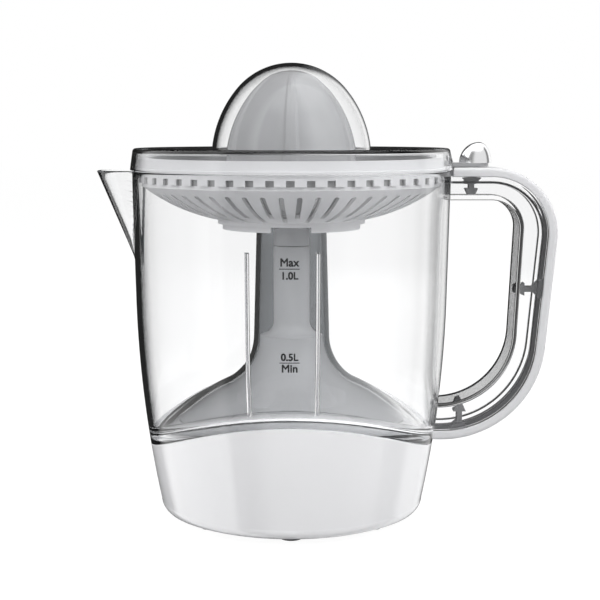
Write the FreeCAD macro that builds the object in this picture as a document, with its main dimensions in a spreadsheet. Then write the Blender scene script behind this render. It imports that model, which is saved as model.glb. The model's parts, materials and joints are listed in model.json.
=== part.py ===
import FreeCAD, Part
import math
import operator
import os

import Sketcher
from FreeCAD import Placement, Rotation, Vector

# Citrus press juicer, in millimetres. The origin is on the jug's axis, level with the soles of the feet.
# +Z is up, the spout points to -X, the handle to +X, and the front is at -Y.

SIZES = [
    ("foot_height", 3.0, "rubber feet, below the base"),
    ("foot_radius", 5.0, "rubber feet, radius"),
    ("foot_circle", 45.0, "rubber feet, distance from the axis"),
    ("base_corner", 5.5, "rounding of the base's lower edge"),
    ("wall_low_radius", 62.3, "outside of the base just above its lower edge"),
    ("wall_mid_radius", 72.95, "outside of the jug where its curve ends"),
    ("wall_mid_height", 102.0, "height where the jug's curve ends"),
    ("wall_bend", 525.0, "bend radius of the curved wall"),
    ("rim_radius", 74.2, "outside of the jug at its rim"),
    ("rim_height", 163.3, "height of the jug's rim"),
    ("base_wall", 2.5, "wall of the base"),
    ("shell_overlap", 1.2, "how far the shell reaches down beside the bottom plate"),
    ("plate_ledge", 1.8, "ledge inside the shell above the bottom plate"),
    ("jug_wall", 2.4, "wall of the jug"),
    ("seam_top", 55.2, "top of the arched seam between jug and base"),
    ("seam_bend", 120.0, "radius of the arched seam"),
    ("seam_gap", 0.3, "gap between jug and base along the seam"),
    ("jug_floor", 3.0, "thickness of the jug's arched floor"),
    ("deck", 2.5, "thickness of the base's arched deck"),
    ("tube_top_radius", 16.4, "outside of the jug's centre tube at its top"),
    ("tube_top", 137.4, "height of the centre tube"),
    ("tube_foot_radius", 17.8, "outside of the centre tube where it flares"),
    ("bell_flare", 25.0, "radius of the flare under the centre tube"),
    ("bell_dome", 77.0, "radius of the bell-shaped floor"),
    ("bell_height", 70.5, "height that the bell's dome would reach on the axis"),
    ("bell_edge", 64.0, "outer end of the bell, inside the wall"),
    ("bell_wall", 2.2, "wall of the jug's bell and tube"),
    ("bell_room", 0.8, "gap between the jug's bell and the motor tower"),
    ("spout_reach", 91.0, "spout tip, distance from the axis"),
    ("spout_round", 15.0, "radius of the spout at the rim"),
    ("spout_low", 120.0, "height where the spout starts"),
    ("spout_wall", 2.2, "wall of the spout"),
    ("rib_half", 0.75, "upright ribs inside the jug's front wall, half their angle, degrees"),
    ("rib_depth", 1.3, "upright ribs, how far they stand proud"),
    ("rib_top", 131.0, "upright ribs, top"),
    ("rib_left", 255.2, "left rib, direction from the axis, degrees"),
    ("rib_right", 279.4, "right rib, direction from the axis, degrees"),
    ("tower_column", 8.5, "radius of the tower's column"),
    ("tower_top", 128.0, "height of the tower's column"),
    ("tower_bore", 6.3, "bore of the tower's column"),
    ("tower_wall", 2.2, "wall of the tower's bell"),
    ("tower_skirt", 52.5, "radius of the tower's skirt"),
    ("tower_gap", 0.3, "gap between the skirt and the deck's opening"),
    ("flange_reach", 61.0, "radius of the tower's flange"),
    ("flange_top", 33.0, "top of the tower's flange"),
    ("flange_thick", 2.5, "thickness of the tower's flange"),
    ("post_circle", 53.8, "distance of the bottom plate's screws from the axis"),
    ("boss_circle", 57.4, "distance of the tower's screws from the axis"),
    ("post_radius", 3.5, "radius of screw posts"),
    ("screw_radius", 1.5, "radius of the screws"),
    ("screw_room", 0.1, "clearance round a screw"),
    ("head_radius", 2.8, "radius of screw heads"),
    ("head_height", 1.8, "height of screw heads"),
    ("plate_bite", 8.0, "depth of the bottom plate's screws"),
    ("tower_bite", 3.0, "depth of the tower's screws"),
    ("gearbox_bite", 7.0, "depth of the gearbox screws"),
    ("plate_thick", 2.5, "bottom plate"),
    ("plate_room", 0.3, "gap round the bottom plate"),
    ("motor_radius", 30.0, "motor can"),
    ("motor_wall", 1.2, "sheet of the motor can"),
    ("motor_top", 27.5, "height of the motor can"),
    ("gear_plate_radius", 43.0, "radius of the gearbox"),
    ("gear_plate_thick", 1.6, "plate that closes the motor"),
    ("bobbin_outer", 28.5, "coil bobbin, outside"),
    ("bobbin_inner", 14.5, "coil bobbin, bore"),
    ("bobbin_wall", 1.5, "coil bobbin, wall"),
    ("magnet_radius", 13.3, "rotor magnet"),
    ("magnet_base", 10.0, "rotor magnet, underside"),
    ("magnet_height", 14.0, "rotor magnet, height"),
    ("axle_radius", 1.5, "rotor shaft and idler stud"),
    ("bush_radius", 4.0, "rotor bushes"),
    ("bush_height", 2.0, "rotor bushes"),
    ("running_gap", 0.05, "clearance of a running shaft"),
    ("gear_module", 1.0, "gear module"),
    ("pinion_teeth", 12.0, "teeth of both pinions"),
    ("wheel_teeth", 33.0, "teeth of both wheels"),
    ("gear_backlash", 0.2, "backlash of the gears"),
    ("gear_width", 5.0, "face width of the wheels"),
    ("gear_lift", 2.4, "wheels above the gear plate"),
    ("gear_gap", 1.0, "gap between the two gear levels"),
    ("cover_wall", 2.2, "wall of the gearbox cover"),
    ("cover_top", 48.5, "top of the gearbox cover"),
    ("column_circle", 36.8, "distance of the gearbox screws from the axis"),
    ("hub_radius", 7.0, "hub of the output gear"),
    ("hub_top", 55.0, "top of the output gear's hub"),
    ("spindle_radius", 4.0, "drive spindle"),
    ("spindle_flats", 6.9, "drive spindle, across its hexagon"),
    ("spindle_low", 42.0, "lower end of the drive spindle"),
    ("spindle_top", 162.0, "upper end of the drive spindle"),
    ("hex_room", 0.15, "clearance on each hexagon flat"),
    ("press_travel", 2.5, "travel of cone and spindle when pressed"),
    ("collar_radius", 12.5, "collar that bears on the return spring"),
    ("collar_low", 67.0, "underside of that collar"),
    ("collar_thick", 2.2, "thickness of that collar"),
    ("spring_radius", 5.6, "return spring, middle of its wire"),
    ("spring_wire", 0.5, "return spring, radius of its wire"),
    ("spring_pitch", 2.6, "return spring, rise of each turn"),
    ("switch_length", 20.0, "switch body"),
    ("switch_depth", 6.4, "switch body"),
    ("switch_height", 11.5, "switch body"),
    ("switch_gap", 0.5, "gap between the switch and the hub"),
    ("plunger_radius", 1.2, "switch plunger"),
    ("plunger_room", 0.06, "clearance round the plunger"),
    ("bush_low", 114.0, "upper bush, lower end"),
    ("seal_height", 3.0, "shaft seal"),
    ("sleeve_radius", 8.4, "drive sleeve"),
    ("sleeve_gap", 0.4, "gap between drive sleeve and tower"),
    ("sleeve_flange", 11.5, "flange of the drive sleeve"),
    ("sleeve_flange_thick", 2.0, "flange of the drive sleeve"),
    ("sleeve_flats", 13.0, "drive sleeve, across its outer hexagon"),
    ("sleeve_top", 159.0, "top of the drive sleeve"),
    ("hub_gap", 0.3, "gap round the drive sleeve in the strainer's hub"),
    ("chimney_wall", 3.2, "wall of the strainer's hub"),
    ("chimney_top", 149.9, "top of the strainer's hub"),
    ("band_radius", 71.2, "outside of the strainer's band"),
    ("band_top", 168.8, "top of the strainer's band"),
    ("band_low", 158.3, "lower end of the castellated band"),
    ("tab_height", 2.6, "height of the castellation"),
    ("tab_gap", 3.6, "gap between two tabs"),
    ("strainer_flange", 72.7, "flange that sits on the jug's rim"),
    ("strainer_flange_thick", 1.2, "flange that sits on the jug's rim"),
    ("band_wall", 1.6, "step between the band and the dish"),
    ("dish_bend", 79.5, "bend radius of the strainer's dish"),
    ("dish_centre_radius", 20.2, "centre of that bend, from the axis"),
    ("dish_centre_height", 218.9, "centre of that bend, height"),
    ("dish_wall", 1.8, "thickness of the dish"),
    ("dish_inner", 34.5, "inner end of the curved dish"),
    ("collar_ring", 32.3, "outside of the strainer's lower collar"),
    ("collar_ring_wall", 2.0, "wall of the lower collar"),
    ("collar_ring_low", 136.2, "lower edge of that collar"),
    ("floor_low", 138.8, "underside of the strainer's floor"),
    ("floor_thick", 2.0, "thickness of the strainer's floor"),
    ("notch_width", 18.0, "notch in the lower collar"),
    ("slot_count", 26.0, "long slots, and as many short ones"),
    ("slot_width", 2.3, "strainer slots"),
    ("slot_outer", 66.0, "strainer slots, outer end"),
    ("slot_long", 36.5, "long slots, inner end"),
    ("slot_short", 45.0, "short slots, inner end"),
    ("sieve_gap", 0.35, "gap between strainer and pulp sieve"),
    ("sieve_wall", 1.3, "thickness of the pulp sieve"),
    ("sieve_inner", 37.8, "opening in the middle of the pulp sieve"),
    ("sieve_top", 167.8, "top of the pulp sieve"),
    ("tongue_low", 165.1, "underside of the tongue"),
    ("tongue_thick", 1.6, "tongue of the pulp control"),
    ("tongue_half", 6.5, "half the tongue's width"),
    ("tongue_reach", 93.6, "end of the tongue"),
    ("tongue_room", 6.0, "room beside and above the tongue when it turns"),
    ("knob_peak", 87.5, "pulp knob, distance of its peak from the axis"),
    ("knob_back", 9.1, "pulp knob, length towards the axis"),
    ("knob_front", 5.8, "pulp knob, length away from the axis"),
    ("knob_half", 6.4, "pulp knob, half its width"),
    ("knob_rise", 9.6, "pulp knob, height"),
    ("cone_skirt", 36.0, "reamer cone, radius at its skirt"),
    ("cone_low", 146.4, "reamer cone, lower edge"),
    ("cone_waist", 33.3, "reamer cone, radius where its curve starts"),
    ("cone_waist_height", 165.2, "reamer cone, height where its curve starts"),
    ("cone_bend", 50.1, "reamer cone, bend of its flank"),
    ("cone_shoulder", 14.5, "reamer cone, radius of its shoulder"),
    ("cone_shoulder_height", 204.3, "reamer cone, height of its shoulder"),
    ("cone_tip", 209.4, "reamer cone, top"),
    ("cone_wall", 6.6, "reamer cone, wall before the flutes are cut"),
    ("stem_radius", 10.5, "reamer cone, socket"),
    ("flute_count", 6.0, "flutes of the reamer cone"),
    ("flute_radius", 11.0, "section of a flute"),
    ("flute_path", 66.6, "radius of the path that a flute follows"),
    ("flute_axis", 25.0, "how far behind the axis that path is centred"),
    ("flute_height", 161.5, "height of that path's centre"),
    ("flute_up", 64.0, "sweep of a flute above that height, degrees"),
    ("flute_down", 26.0, "sweep of a flute below that height, degrees"),
    ("lid_wall", 1.7, "wall of the dust cover"),
    ("lid_low_radius", 75.0, "dust cover, skirt at its lower edge"),
    ("lid_top_radius", 73.6, "dust cover, skirt at its top"),
    ("lid_gap", 0.3, "gap under the dust cover's skirt"),
    ("lid_top", 172.8, "dust cover, flat ring"),
    ("dome_radius", 37.0, "dust cover, dome at the flat ring"),
    ("dome_bend", 51.3, "dust cover, bend of the dome's flank"),
    ("dome_shoulder", 24.4, "dust cover, radius of the dome's shoulder"),
    ("dome_shoulder_height", 202.0, "dust cover, height of the dome's shoulder"),
    ("dome_top", 212.8, "dust cover, top"),
    ("grip_upper_across", 92.8, "handle, centre of its upper bend"),
    ("grip_upper_height", 133.7, "handle, centre of its upper bend"),
    ("grip_upper_bend", 31.0, "handle, upper bend outside"),
    ("grip_lower_across", 71.1, "handle, centre of its lower bend"),
    ("grip_lower_height", 84.7, "handle, centre of its lower bend"),
    ("grip_lower_bend", 48.2, "handle, lower bend outside"),
    ("grip_thick", 4.2, "grip strip, thickness"),
    ("grip_round", 1.6, "grip strip, rounding of its edges"),
    ("grip_fit", 0.05, "fit between handle pieces"),
    ("grip_clear", 0.6, "gap between grip strip and dust cover"),
    ("finger_upper_across", 92.5, "finger side, centre of its upper bend"),
    ("finger_upper_height", 136.5, "finger side, centre of its upper bend"),
    ("finger_upper_bend", 13.2, "finger side, upper bend"),
    ("finger_lower_across", 69.1, "finger side, centre of its lower bend"),
    ("finger_lower_height", 88.6, "finger side, centre of its lower bend"),
    ("finger_lower_bend", 34.4, "finger side, lower bend"),
    ("handle_width", 20.0, "handle, width"),
    ("handle_wall", 2.2, "handle, walls of the channel"),
    ("clip_root", 10.0, "snap hooks in the handle channel, width at the grip strip"),
    ("clip_root_depth", 3.6, "snap hooks, depth of the tapered root"),
    ("clip_neck", 2.4, "snap hooks, width of the neck"),
    ("clip_barb", 6.0, "snap hooks, width of the barb"),
    ("clip_barb_depth", 3.0, "snap hooks, depth of the barb"),
    ("clip_tip", 1.6, "snap hooks, width of the tip"),
    ("clip_over", 2.0, "snap hooks, excess that the channel trims"),
    ("clip_thick", 6.0, "snap hooks, thickness across the handle"),
    ("clip_upper", 84.0, "upper snap hook, distance from the axis"),
    ("clip_middle", 107.5, "middle snap hook, height"),
    ("clip_lower", 80.0, "lower snap hook, distance from the axis"),
    ("gland_height", 18.0, "cable gland, height"),
    ("gland_radius", 5.0, "cable gland, body"),
    ("gland_bore", 3.2, "cable gland, bore"),
    ("gland_flange", 7.0, "cable gland, flange"),
    ("gland_flange_thick", 1.6, "cable gland, flange"),
]

FULL_TURN = 360
QUARTER_TURN = 90
FRONT_TURN = -90
MARGIN = 30.0
BOSSES = 4
POST_TURN = 45
GEARBOX_SCREWS = 3
UP = (0, 1)
DOWN = (0, -1)
INWARD = (-1, 0)
COLUMN_TURN = -90
# Rounded ends are a little flatter than half a circle.
ROUND_END = 1.04
PRESSURE_ANGLE = math.radians(20)
ADDENDUM = 0.8
DEDENDUM = 1.1

doc = FreeCAD.newDocument("citrus_juicer")


class Size:
    """A length: its number now, and the sheet expression that keeps it current."""

    def __init__(self, value, text):
        self.value = value
        self.text = text

    def __add__(self, other):
        return combine("+", self, other)

    def __radd__(self, other):
        return combine("+", other, self)

    def __sub__(self, other):
        return combine("-", self, other)

    def __rsub__(self, other):
        return combine("-", other, self)

    def __mul__(self, other):
        return combine("*", self, other)

    def __rmul__(self, other):
        return combine("*", other, self)

    def __truediv__(self, other):
        return combine("/", self, other)

    def __rtruediv__(self, other):
        return combine("/", other, self)

    def __neg__(self):
        return combine("-", 0, self)


OPERATIONS = {"+": operator.add, "-": operator.sub, "*": operator.mul, "/": operator.truediv}


def as_size(thing):
    return thing if isinstance(thing, Size) else Size(float(thing), f"{thing:.6f}")


def combine(sign, left, right):
    left = as_size(left)
    right = as_size(right)
    return Size(OPERATIONS[sign](left.value, right.value), f"({left.text} {sign} {right.text})")


def root(amount):
    return Size(math.sqrt(amount.value), f"sqrt({amount.text})")


def leg(long_side, short_side):
    """The other leg of a right triangle."""
    return root(long_side * long_side - short_side * short_side)


class Sheet:
    """The spreadsheet of driving sizes; its cells are read as attributes."""

    def __init__(self):
        self.cells = doc.addObject("Spreadsheet::Sheet", "Sizes")
        for row, (alias, value, meaning) in enumerate(SIZES, start=1):
            self.cells.set(f"A{row}", meaning)
            self.cells.set(f"B{row}", str(value))
            self.cells.setAlias(f"B{row}", alias)
        doc.recompute()

    def __getattr__(self, alias):
        return Size(float(self.cells.get(alias)), f"Sizes.{alias}")


S = Sheet()
SUB_PARTS = []


def bind(thing, path, size):
    thing.setExpression(path, as_size(size).text)


def new_body(name):
    body = doc.addObject("PartDesign::Body", name)
    body.Label = name
    SUB_PARTS.append(body)
    return body


def new_sketch(body, name, plane, lift, turn):
    """A sketch on one of the body's own planes, lifted square to it and turned about the Z axis where asked."""
    sketch = body.newObject("Sketcher::SketchObject", f"{body.Name}_{name}")
    role = f"{plane}_Plane"
    support = [item for item in body.Origin.OriginFeatures if item.Role == role]
    sketch.AttachmentSupport = [(support[0], "")]
    sketch.MapMode = "FlatFace"
    height = as_size(lift)
    turned = as_size(turn)
    upright = Vector(0, 1, 0) if plane == "XZ" else Vector(0, 0, 1)
    sketch.AttachmentOffset = Placement(Vector(0, 0, height.value), Rotation(upright, turned.value))
    bind(sketch, "AttachmentOffset.Base.z", height)
    bind(sketch, "AttachmentOffset.Rotation.Angle", turned)
    return sketch


def arc_edge(start, end, bend):
    """An arc from start to end; a positive bend turns left, a negative one right."""
    chord = end - start
    middle = (start + end) * 0.5
    rise = math.sqrt(max(bend * bend - chord.Length ** 2 / 4, 0))
    side = Vector(-chord.y, chord.x, 0) * (math.copysign(rise, bend) / chord.Length)
    centre = middle + side
    first, last = (start, end) if bend > 0 else (end, start)
    angles = [math.atan2(point.y - centre.y, point.x - centre.x) for point in (first, last)]
    return Part.ArcOfCircle(Part.Circle(centre, Vector(0, 0, 1), abs(bend)), angles[0], angles[1])


class Rules:
    """Constraints of one sketch, each bound to the sheet once they are all in."""

    def __init__(self, sketch):
        self.sketch = sketch
        self.rules = []
        self.texts = {}

    def add(self, *rule, size=None):
        if size is not None:
            self.texts[len(self.rules)] = size.text
            rule = (*rule, size.value)
        self.rules.append(Sketcher.Constraint(*rule))

    def place(self, geometry, spot, across, up):
        """Hold one point of the sketch at its distances from the sketch's origin."""
        for kind, axis, size in (("DistanceX", -2, as_size(across)), ("DistanceY", -1, as_size(up))):
            if abs(size.value) < 1e-9:
                self.add("PointOnObject", geometry, spot, axis)
            elif size.value > 0:
                self.add(kind, -1, 1, geometry, spot, size=size)
            else:
                self.add(kind, geometry, spot, -1, 1, size=-size)

    def apply(self):
        self.sketch.addConstraint(self.rules)
        for number, text in self.texts.items():
            self.sketch.setExpression(f"Constraints[{number}]", text)


def outline(body, name, plane, corners, lift=0, turn=0):
    """A closed outline. A corner is (across, up), or (across, up, bend) where an arc follows it."""
    sketch = new_sketch(body, name, plane, lift, turn)
    points = [Vector(as_size(corner[0]).value, as_size(corner[1]).value, 0) for corner in corners]
    edges = []
    spots = []
    for number, corner in enumerate(corners):
        start = points[number]
        end = points[(number + 1) % len(points)]
        if len(corner) == 2:
            edges.append(Part.LineSegment(start, end))
            spots.append((1, 2))
        else:
            edges.append(arc_edge(start, end, corner[2].value))
            spots.append((1, 2) if corner[2].value > 0 else (2, 1))
    sketch.addGeometry(edges, False)
    rules = Rules(sketch)
    for number, corner in enumerate(corners):
        first, last = spots[number]
        rules.add("Coincident", number - 1 if number else len(corners) - 1, spots[number - 1][1], number, first)
        rules.place(number, first, corner[0], corner[1])
        if len(corner) == 3:
            rules.add("Radius", number, size=corner[2] if corner[2].value > 0 else -corner[2])
    rules.apply()
    return sketch


def circles(body, name, plane, rounds, lift=0, turn=0):
    """Circles given as (across, up, radius)."""
    sketch = new_sketch(body, name, plane, lift, turn)
    for across, up, radius in rounds:
        centre = Vector(as_size(across).value, as_size(up).value, 0)
        sketch.addGeometry(Part.Circle(centre, Vector(0, 0, 1), as_size(radius).value), False)
    rules = Rules(sketch)
    for number, (across, up, radius) in enumerate(rounds):
        rules.place(number, 3, across, up)
        rules.add("Radius", number, size=as_size(radius))
    rules.apply()
    return sketch


def finish_feature(body, feature, cuts):
    """Recompute, and make sure that a cut took something away and an addition put something on."""
    before = body.Tip.BaseFeature.Shape.Volume if body.Tip.BaseFeature else 0
    doc.recompute()
    change = feature.Shape.Volume - before
    if (change >= 0) if cuts else (change <= 0):
        raise RuntimeError(f"{feature.Name} changed the volume by {change:.3f}")
    return feature


def spin(body, kind, sketch, axis="V_Axis", sweep=None, back=None):
    """A Revolution or Groove about an axis of its sketch, all round unless two sweeps are given."""
    feature = body.newObject(f"PartDesign::{kind}", f"{sketch.Name}_{kind}")
    feature.Profile = sketch
    feature.ReferenceAxis = (sketch, [axis])
    feature.Angle = FULL_TURN
    if sweep is not None:
        feature.Type = "TwoAngles"
        bind(feature, "Angle", sweep)
        bind(feature, "Angle2", back)
    return finish_feature(body, feature, kind == "Groove")


def extrude(body, kind, sketch, length=None, side="One side", flip=False):
    """A Pad or Pocket; a Pocket without a length goes through all."""
    feature = body.newObject(f"PartDesign::{kind}", f"{sketch.Name}_{kind}")
    feature.Profile = sketch
    feature.SideType = side
    feature.Reversed = flip
    if length is None:
        feature.Type = "ThroughAll"
    else:
        feature.Length = as_size(length).value
        bind(feature, "Length", length)
    return finish_feature(body, feature, kind == "Pocket")


def loft(body, kind, sections):
    feature = body.newObject(f"PartDesign::{kind}", f"{sections[0].Name}_{kind}")
    feature.Profile = sections[0]
    feature.Sections = sections[1:]
    feature.Ruled = True
    return finish_feature(body, feature, kind == "SubtractiveLoft")


def around(body, feature, sketch, count):
    """Repeat one feature all round the Z axis."""
    pattern = body.newObject("PartDesign::PolarPattern", f"{feature.Name}_ring")
    pattern.Originals = [feature]
    pattern.Axis = (sketch, ["N_Axis"])
    pattern.Angle = FULL_TURN
    pattern.Occurrences = int(as_size(count).value)
    bind(pattern, "Occurrences", count)
    body.Tip = pattern
    doc.recompute()
    return pattern


def round_edges(body, radius, wanted):
    """Fillet those edges of the body that pass the test."""
    base = body.Tip
    names = [f"Edge{number}" for number, edge in enumerate(base.Shape.Edges, start=1) if wanted(edge)]
    fillet = body.newObject("PartDesign::Fillet", f"{body.Name}_round")
    fillet.Base = (base, names)
    bind(fillet, "Radius", radius)
    doc.recompute()
    return fillet


def rectangle(left, right, low, high):
    return [(left, low), (right, low), (right, high), (left, high)]


def hexagon(across_flats):
    reach = across_flats / math.sqrt(3)
    return [
        (reach * math.cos(math.radians(60 * side)), reach * math.sin(math.radians(60 * side)))
        for side in range(6)
    ]


def slot_outline(inner, outer, width):
    half = width / 2
    bend = half * ROUND_END
    return [
        (inner + half, -half),
        (outer - half, -half, bend),
        (outer - half, half),
        (inner + half, half, bend),
    ]


def wall_points(inset):
    """The curved outside wall, set in by inset, from the base's lower edge up to the rim."""
    return [
        (S.wall_low_radius - inset, S.foot_height + S.base_corner, S.wall_bend),
        (S.wall_mid_radius - inset, S.wall_mid_height),
        (S.rim_radius - inset, S.rim_height),
    ]


def bell_points(offset, edge):
    """The bell set in by offset: the foot of its tube, its flare and its dome out to an edge radius."""
    centre = S.bell_height - S.bell_dome
    flare = S.bell_flare + offset
    dome = S.bell_dome - offset
    flare_across = S.tube_foot_radius + S.bell_flare
    reach = S.bell_dome + S.bell_flare
    flare_rise = leg(reach, flare_across)
    return [
        (S.tube_foot_radius - offset, centre + flare_rise, flare),
        (dome * flare_across / reach, centre + dome * flare_rise / reach, -dome),
        (edge, centre + leg(dome, edge)),
    ]


def backwards(corners):
    """The same corners in the other direction, with each arc turning the other way."""
    turned = []
    for number in range(len(corners) - 1, -1, -1):
        corner = corners[number][:2]
        before = corners[number - 1] if number else ()
        if len(before) == 3:
            corner = (*corner, -before[2])
        turned.append(corner)
    return turned


def wall_radius(height, inset=0):
    """Outside radius of the curved wall at one height below the end of its curve."""
    low, middle = wall_points(inset)[:2]
    run = middle[0] - low[0]
    rise = middle[1] - low[1]
    chord = root(run * run + rise * rise)
    sagitta_leg = leg(S.wall_bend, chord / 2)
    across = (low[0] + middle[0]) / 2 - rise / chord * sagitta_leg
    up = (low[1] + middle[1]) / 2 + run / chord * sagitta_leg
    return across + leg(S.wall_bend, height - up)


def group(name, pieces):
    """Separate solids that share one node."""
    compound = doc.addObject("Part::Compound", name)
    compound.Label = name
    compound.Links = pieces
    SUB_PARTS.append(compound)
    doc.recompute()
    return compound


def cap_bend(radius, rise):
    """Radius of the ball whose cap has this rim radius and rise."""
    return (radius * radius + rise * rise) / (2 * rise)


def ring(name, inner, outer, low, high):
    """A plain turned ring."""
    body = new_body(name)
    spin(body, "Revolution", outline(body, "section", "XZ", rectangle(inner, outer, low, high)))
    return body


def screws(name, circle, count, turn, head_low, shaft_low, shaft_high, head_below):
    """A ring of pan-head screws, each its own solid."""
    body = new_body(name)
    head_at = head_low if head_below else shaft_high
    head = circles(body, "head", "XY", [(circle, 0, S.head_radius)], head_at, turn)
    extrude(body, "Pad", head, S.head_height)
    shaft = circles(body, "shaft", "XY", [(circle, 0, S.screw_radius)], shaft_low, turn)
    extrude(body, "Pad", shaft, shaft_high - shaft_low + (0 if head_below else S.head_height / 2))
    around_all(body, shaft, count)
    return body


def around_all(body, sketch, count):
    """Repeat every feature of a body round the Z axis."""
    pattern = body.newObject("PartDesign::PolarPattern", f"{body.Name}_ring")
    pattern.Originals = [item for item in body.Group if item.isDerivedFrom("PartDesign::FeatureAddSub")]
    pattern.Axis = (sketch, ["N_Axis"])
    pattern.Angle = FULL_TURN
    pattern.Occurrences = count
    body.Tip = pattern
    doc.recompute()


# Heights and radii that several pieces share


SEAM_CENTRE = S.seam_top - S.seam_bend
PLATE_TOP = S.foot_height + S.plate_thick
SHELL_LOW = S.foot_height + S.plate_thick - S.shell_overlap
PLATE_RADIUS = S.wall_low_radius - S.base_wall - S.plate_ledge
GEAR_PLATE_TOP = S.motor_top + S.gear_plate_thick
LOW_GEARS = GEAR_PLATE_TOP + S.gear_lift
ROTOR_TOP = LOW_GEARS + S.gear_width
HIGH_GEARS = ROTOR_TOP + S.gear_gap
GEAR_DISTANCE = S.gear_module * (S.pinion_teeth + S.wheel_teeth) / 2
TOWER_OFFSET = S.bell_wall + S.bell_room
SLEEVE_LOW = S.tower_top + S.sleeve_gap
SLEEVE_SEAT = S.chimney_top + S.running_gap
CONE_SOCKET_LOW = SLEEVE_SEAT + S.sleeve_flange_thick + S.press_travel + S.running_gap * 4
TONGUE_TOP = S.tongue_low + S.tongue_thick
SIEVE_RADIUS = S.band_radius - S.band_wall - S.dish_wall - S.sieve_gap


# Base: shell, tower, bottom plate, feet and screws


def seam_arc(offset, reach, turn):
    """The arched seam, lifted by offset, as two corners from left to right or back."""
    bend = S.seam_bend + offset
    height = SEAM_CENTRE + leg(bend, reach)
    if turn == "right":
        return [(-reach, height, -bend), (reach, height)]
    return [(reach, height, bend), (-reach, height)]


def arched_slab(body, name, low_offset, high_offset):
    """A slab that follows the arched seam from front to back."""
    upper = seam_arc(high_offset, S.rim_radius, "left")
    lower = seam_arc(low_offset, S.rim_radius, "right")
    sketch = outline(body, name, "XZ", lower + upper)
    return extrude(body, "Pad", sketch, 2 * (S.rim_radius + MARGIN), side="Symmetric")


def trim_to_wall(body, name, wall):
    """Cut away what stands outside the middle of the curved wall."""
    low, middle = wall_points(wall / 2)[:2]
    far = 2 * S.rim_radius
    corners = [low, middle, (far, middle[1]), (far, low[1])]
    return spin(body, "Groove", outline(body, name, "XZ", corners))


def make_base_shell():
    body = new_body("base_shell")
    arched_slab(body, "deck", -S.deck, as_size(0))
    trim_to_wall(body, "deck_edge", S.base_wall)
    outer = wall_points(0)
    inner = wall_points(S.base_wall)
    corner_centre = S.wall_low_radius - S.base_corner
    low_outer = corner_centre + leg(S.base_corner, S.foot_height + S.base_corner - SHELL_LOW)
    wall = [
        (PLATE_RADIUS + S.plate_room, SHELL_LOW),
        (low_outer, SHELL_LOW, S.base_corner),
        outer[0],
        outer[1],
        (inner[1][0], inner[1][1], -S.wall_bend),
        (inner[0][0], inner[0][1]),
        (PLATE_RADIUS + S.plate_room, inner[0][1]),
    ]
    spin(body, "Revolution", outline(body, "wall", "XZ", wall))
    boss = circles(body, "boss", "XY", [(S.boss_circle, 0, S.post_radius)], S.flange_top)
    around(body, extrude(body, "Pad", boss, S.seam_top - S.flange_top), boss, BOSSES)
    high = S.wall_mid_height + MARGIN
    above = seam_arc(as_size(0), S.rim_radius, "right") + [(S.rim_radius, high), (-S.rim_radius, high)]
    extrude(body, "Pocket", outline(body, "above_seam", "XZ", above), side="Symmetric")
    extrude(body, "Pocket", circles(body, "opening", "XY", [(0, 0, S.tower_skirt + S.tower_gap)]), flip=True)
    bore = S.screw_radius + S.screw_room
    hole = circles(body, "screw_hole", "XY", [(S.boss_circle, 0, bore)], S.flange_top)
    around(body, extrude(body, "Pocket", hole, S.tower_bite + S.screw_room, flip=True), hole, BOSSES)
    entry = circles(body, "cord_entry", "XZ", [(0, S.gland_height, S.gland_radius)])
    extrude(body, "Pocket", entry)
    return body


def make_motor_tower():
    body = new_body("motor_tower")
    outer = bell_points(TOWER_OFFSET, S.tower_skirt)
    inner_skirt = S.tower_skirt - S.tower_wall
    inner = bell_points(TOWER_OFFSET + S.tower_wall, inner_skirt)
    step = outer[0][1]
    roof = step - S.tower_wall
    flare = inner[0][2]
    inner[0] = (S.tube_foot_radius + S.bell_flare - leg(flare, S.tower_wall), roof, flare)
    fillet = outer[0][0] - S.tower_column
    flange_low = S.flange_top - S.flange_thick
    profile = [
        (S.tower_bore, S.tower_top),
        (S.tower_column, S.tower_top),
        (S.tower_column, step + fillet, fillet),
        *outer,
        (S.tower_skirt, S.flange_top),
        (S.flange_reach, S.flange_top),
        (S.flange_reach, flange_low),
        (inner_skirt, flange_low),
        *backwards(inner),
        (S.tower_bore, roof),
    ]
    spin(body, "Revolution", outline(body, "profile", "XZ", profile))
    leg_height = flange_low - PLATE_TOP
    post = circles(body, "leg", "XY", [(S.post_circle, 0, S.post_radius)], PLATE_TOP, POST_TURN)
    around(body, extrude(body, "Pad", post, leg_height + S.flange_thick / 2), post, BOSSES)
    bore = S.screw_radius + S.screw_room
    hole = circles(body, "leg_hole", "XY", [(S.post_circle, 0, bore)], PLATE_TOP, POST_TURN)
    around(body, extrude(body, "Pocket", hole, S.plate_bite + S.screw_room, flip=True), hole, BOSSES)
    hole = circles(body, "flange_hole", "XY", [(S.boss_circle, 0, bore)], flange_low)
    around(body, extrude(body, "Pocket", hole, S.flange_thick, flip=True), hole, BOSSES)
    return body


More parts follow.
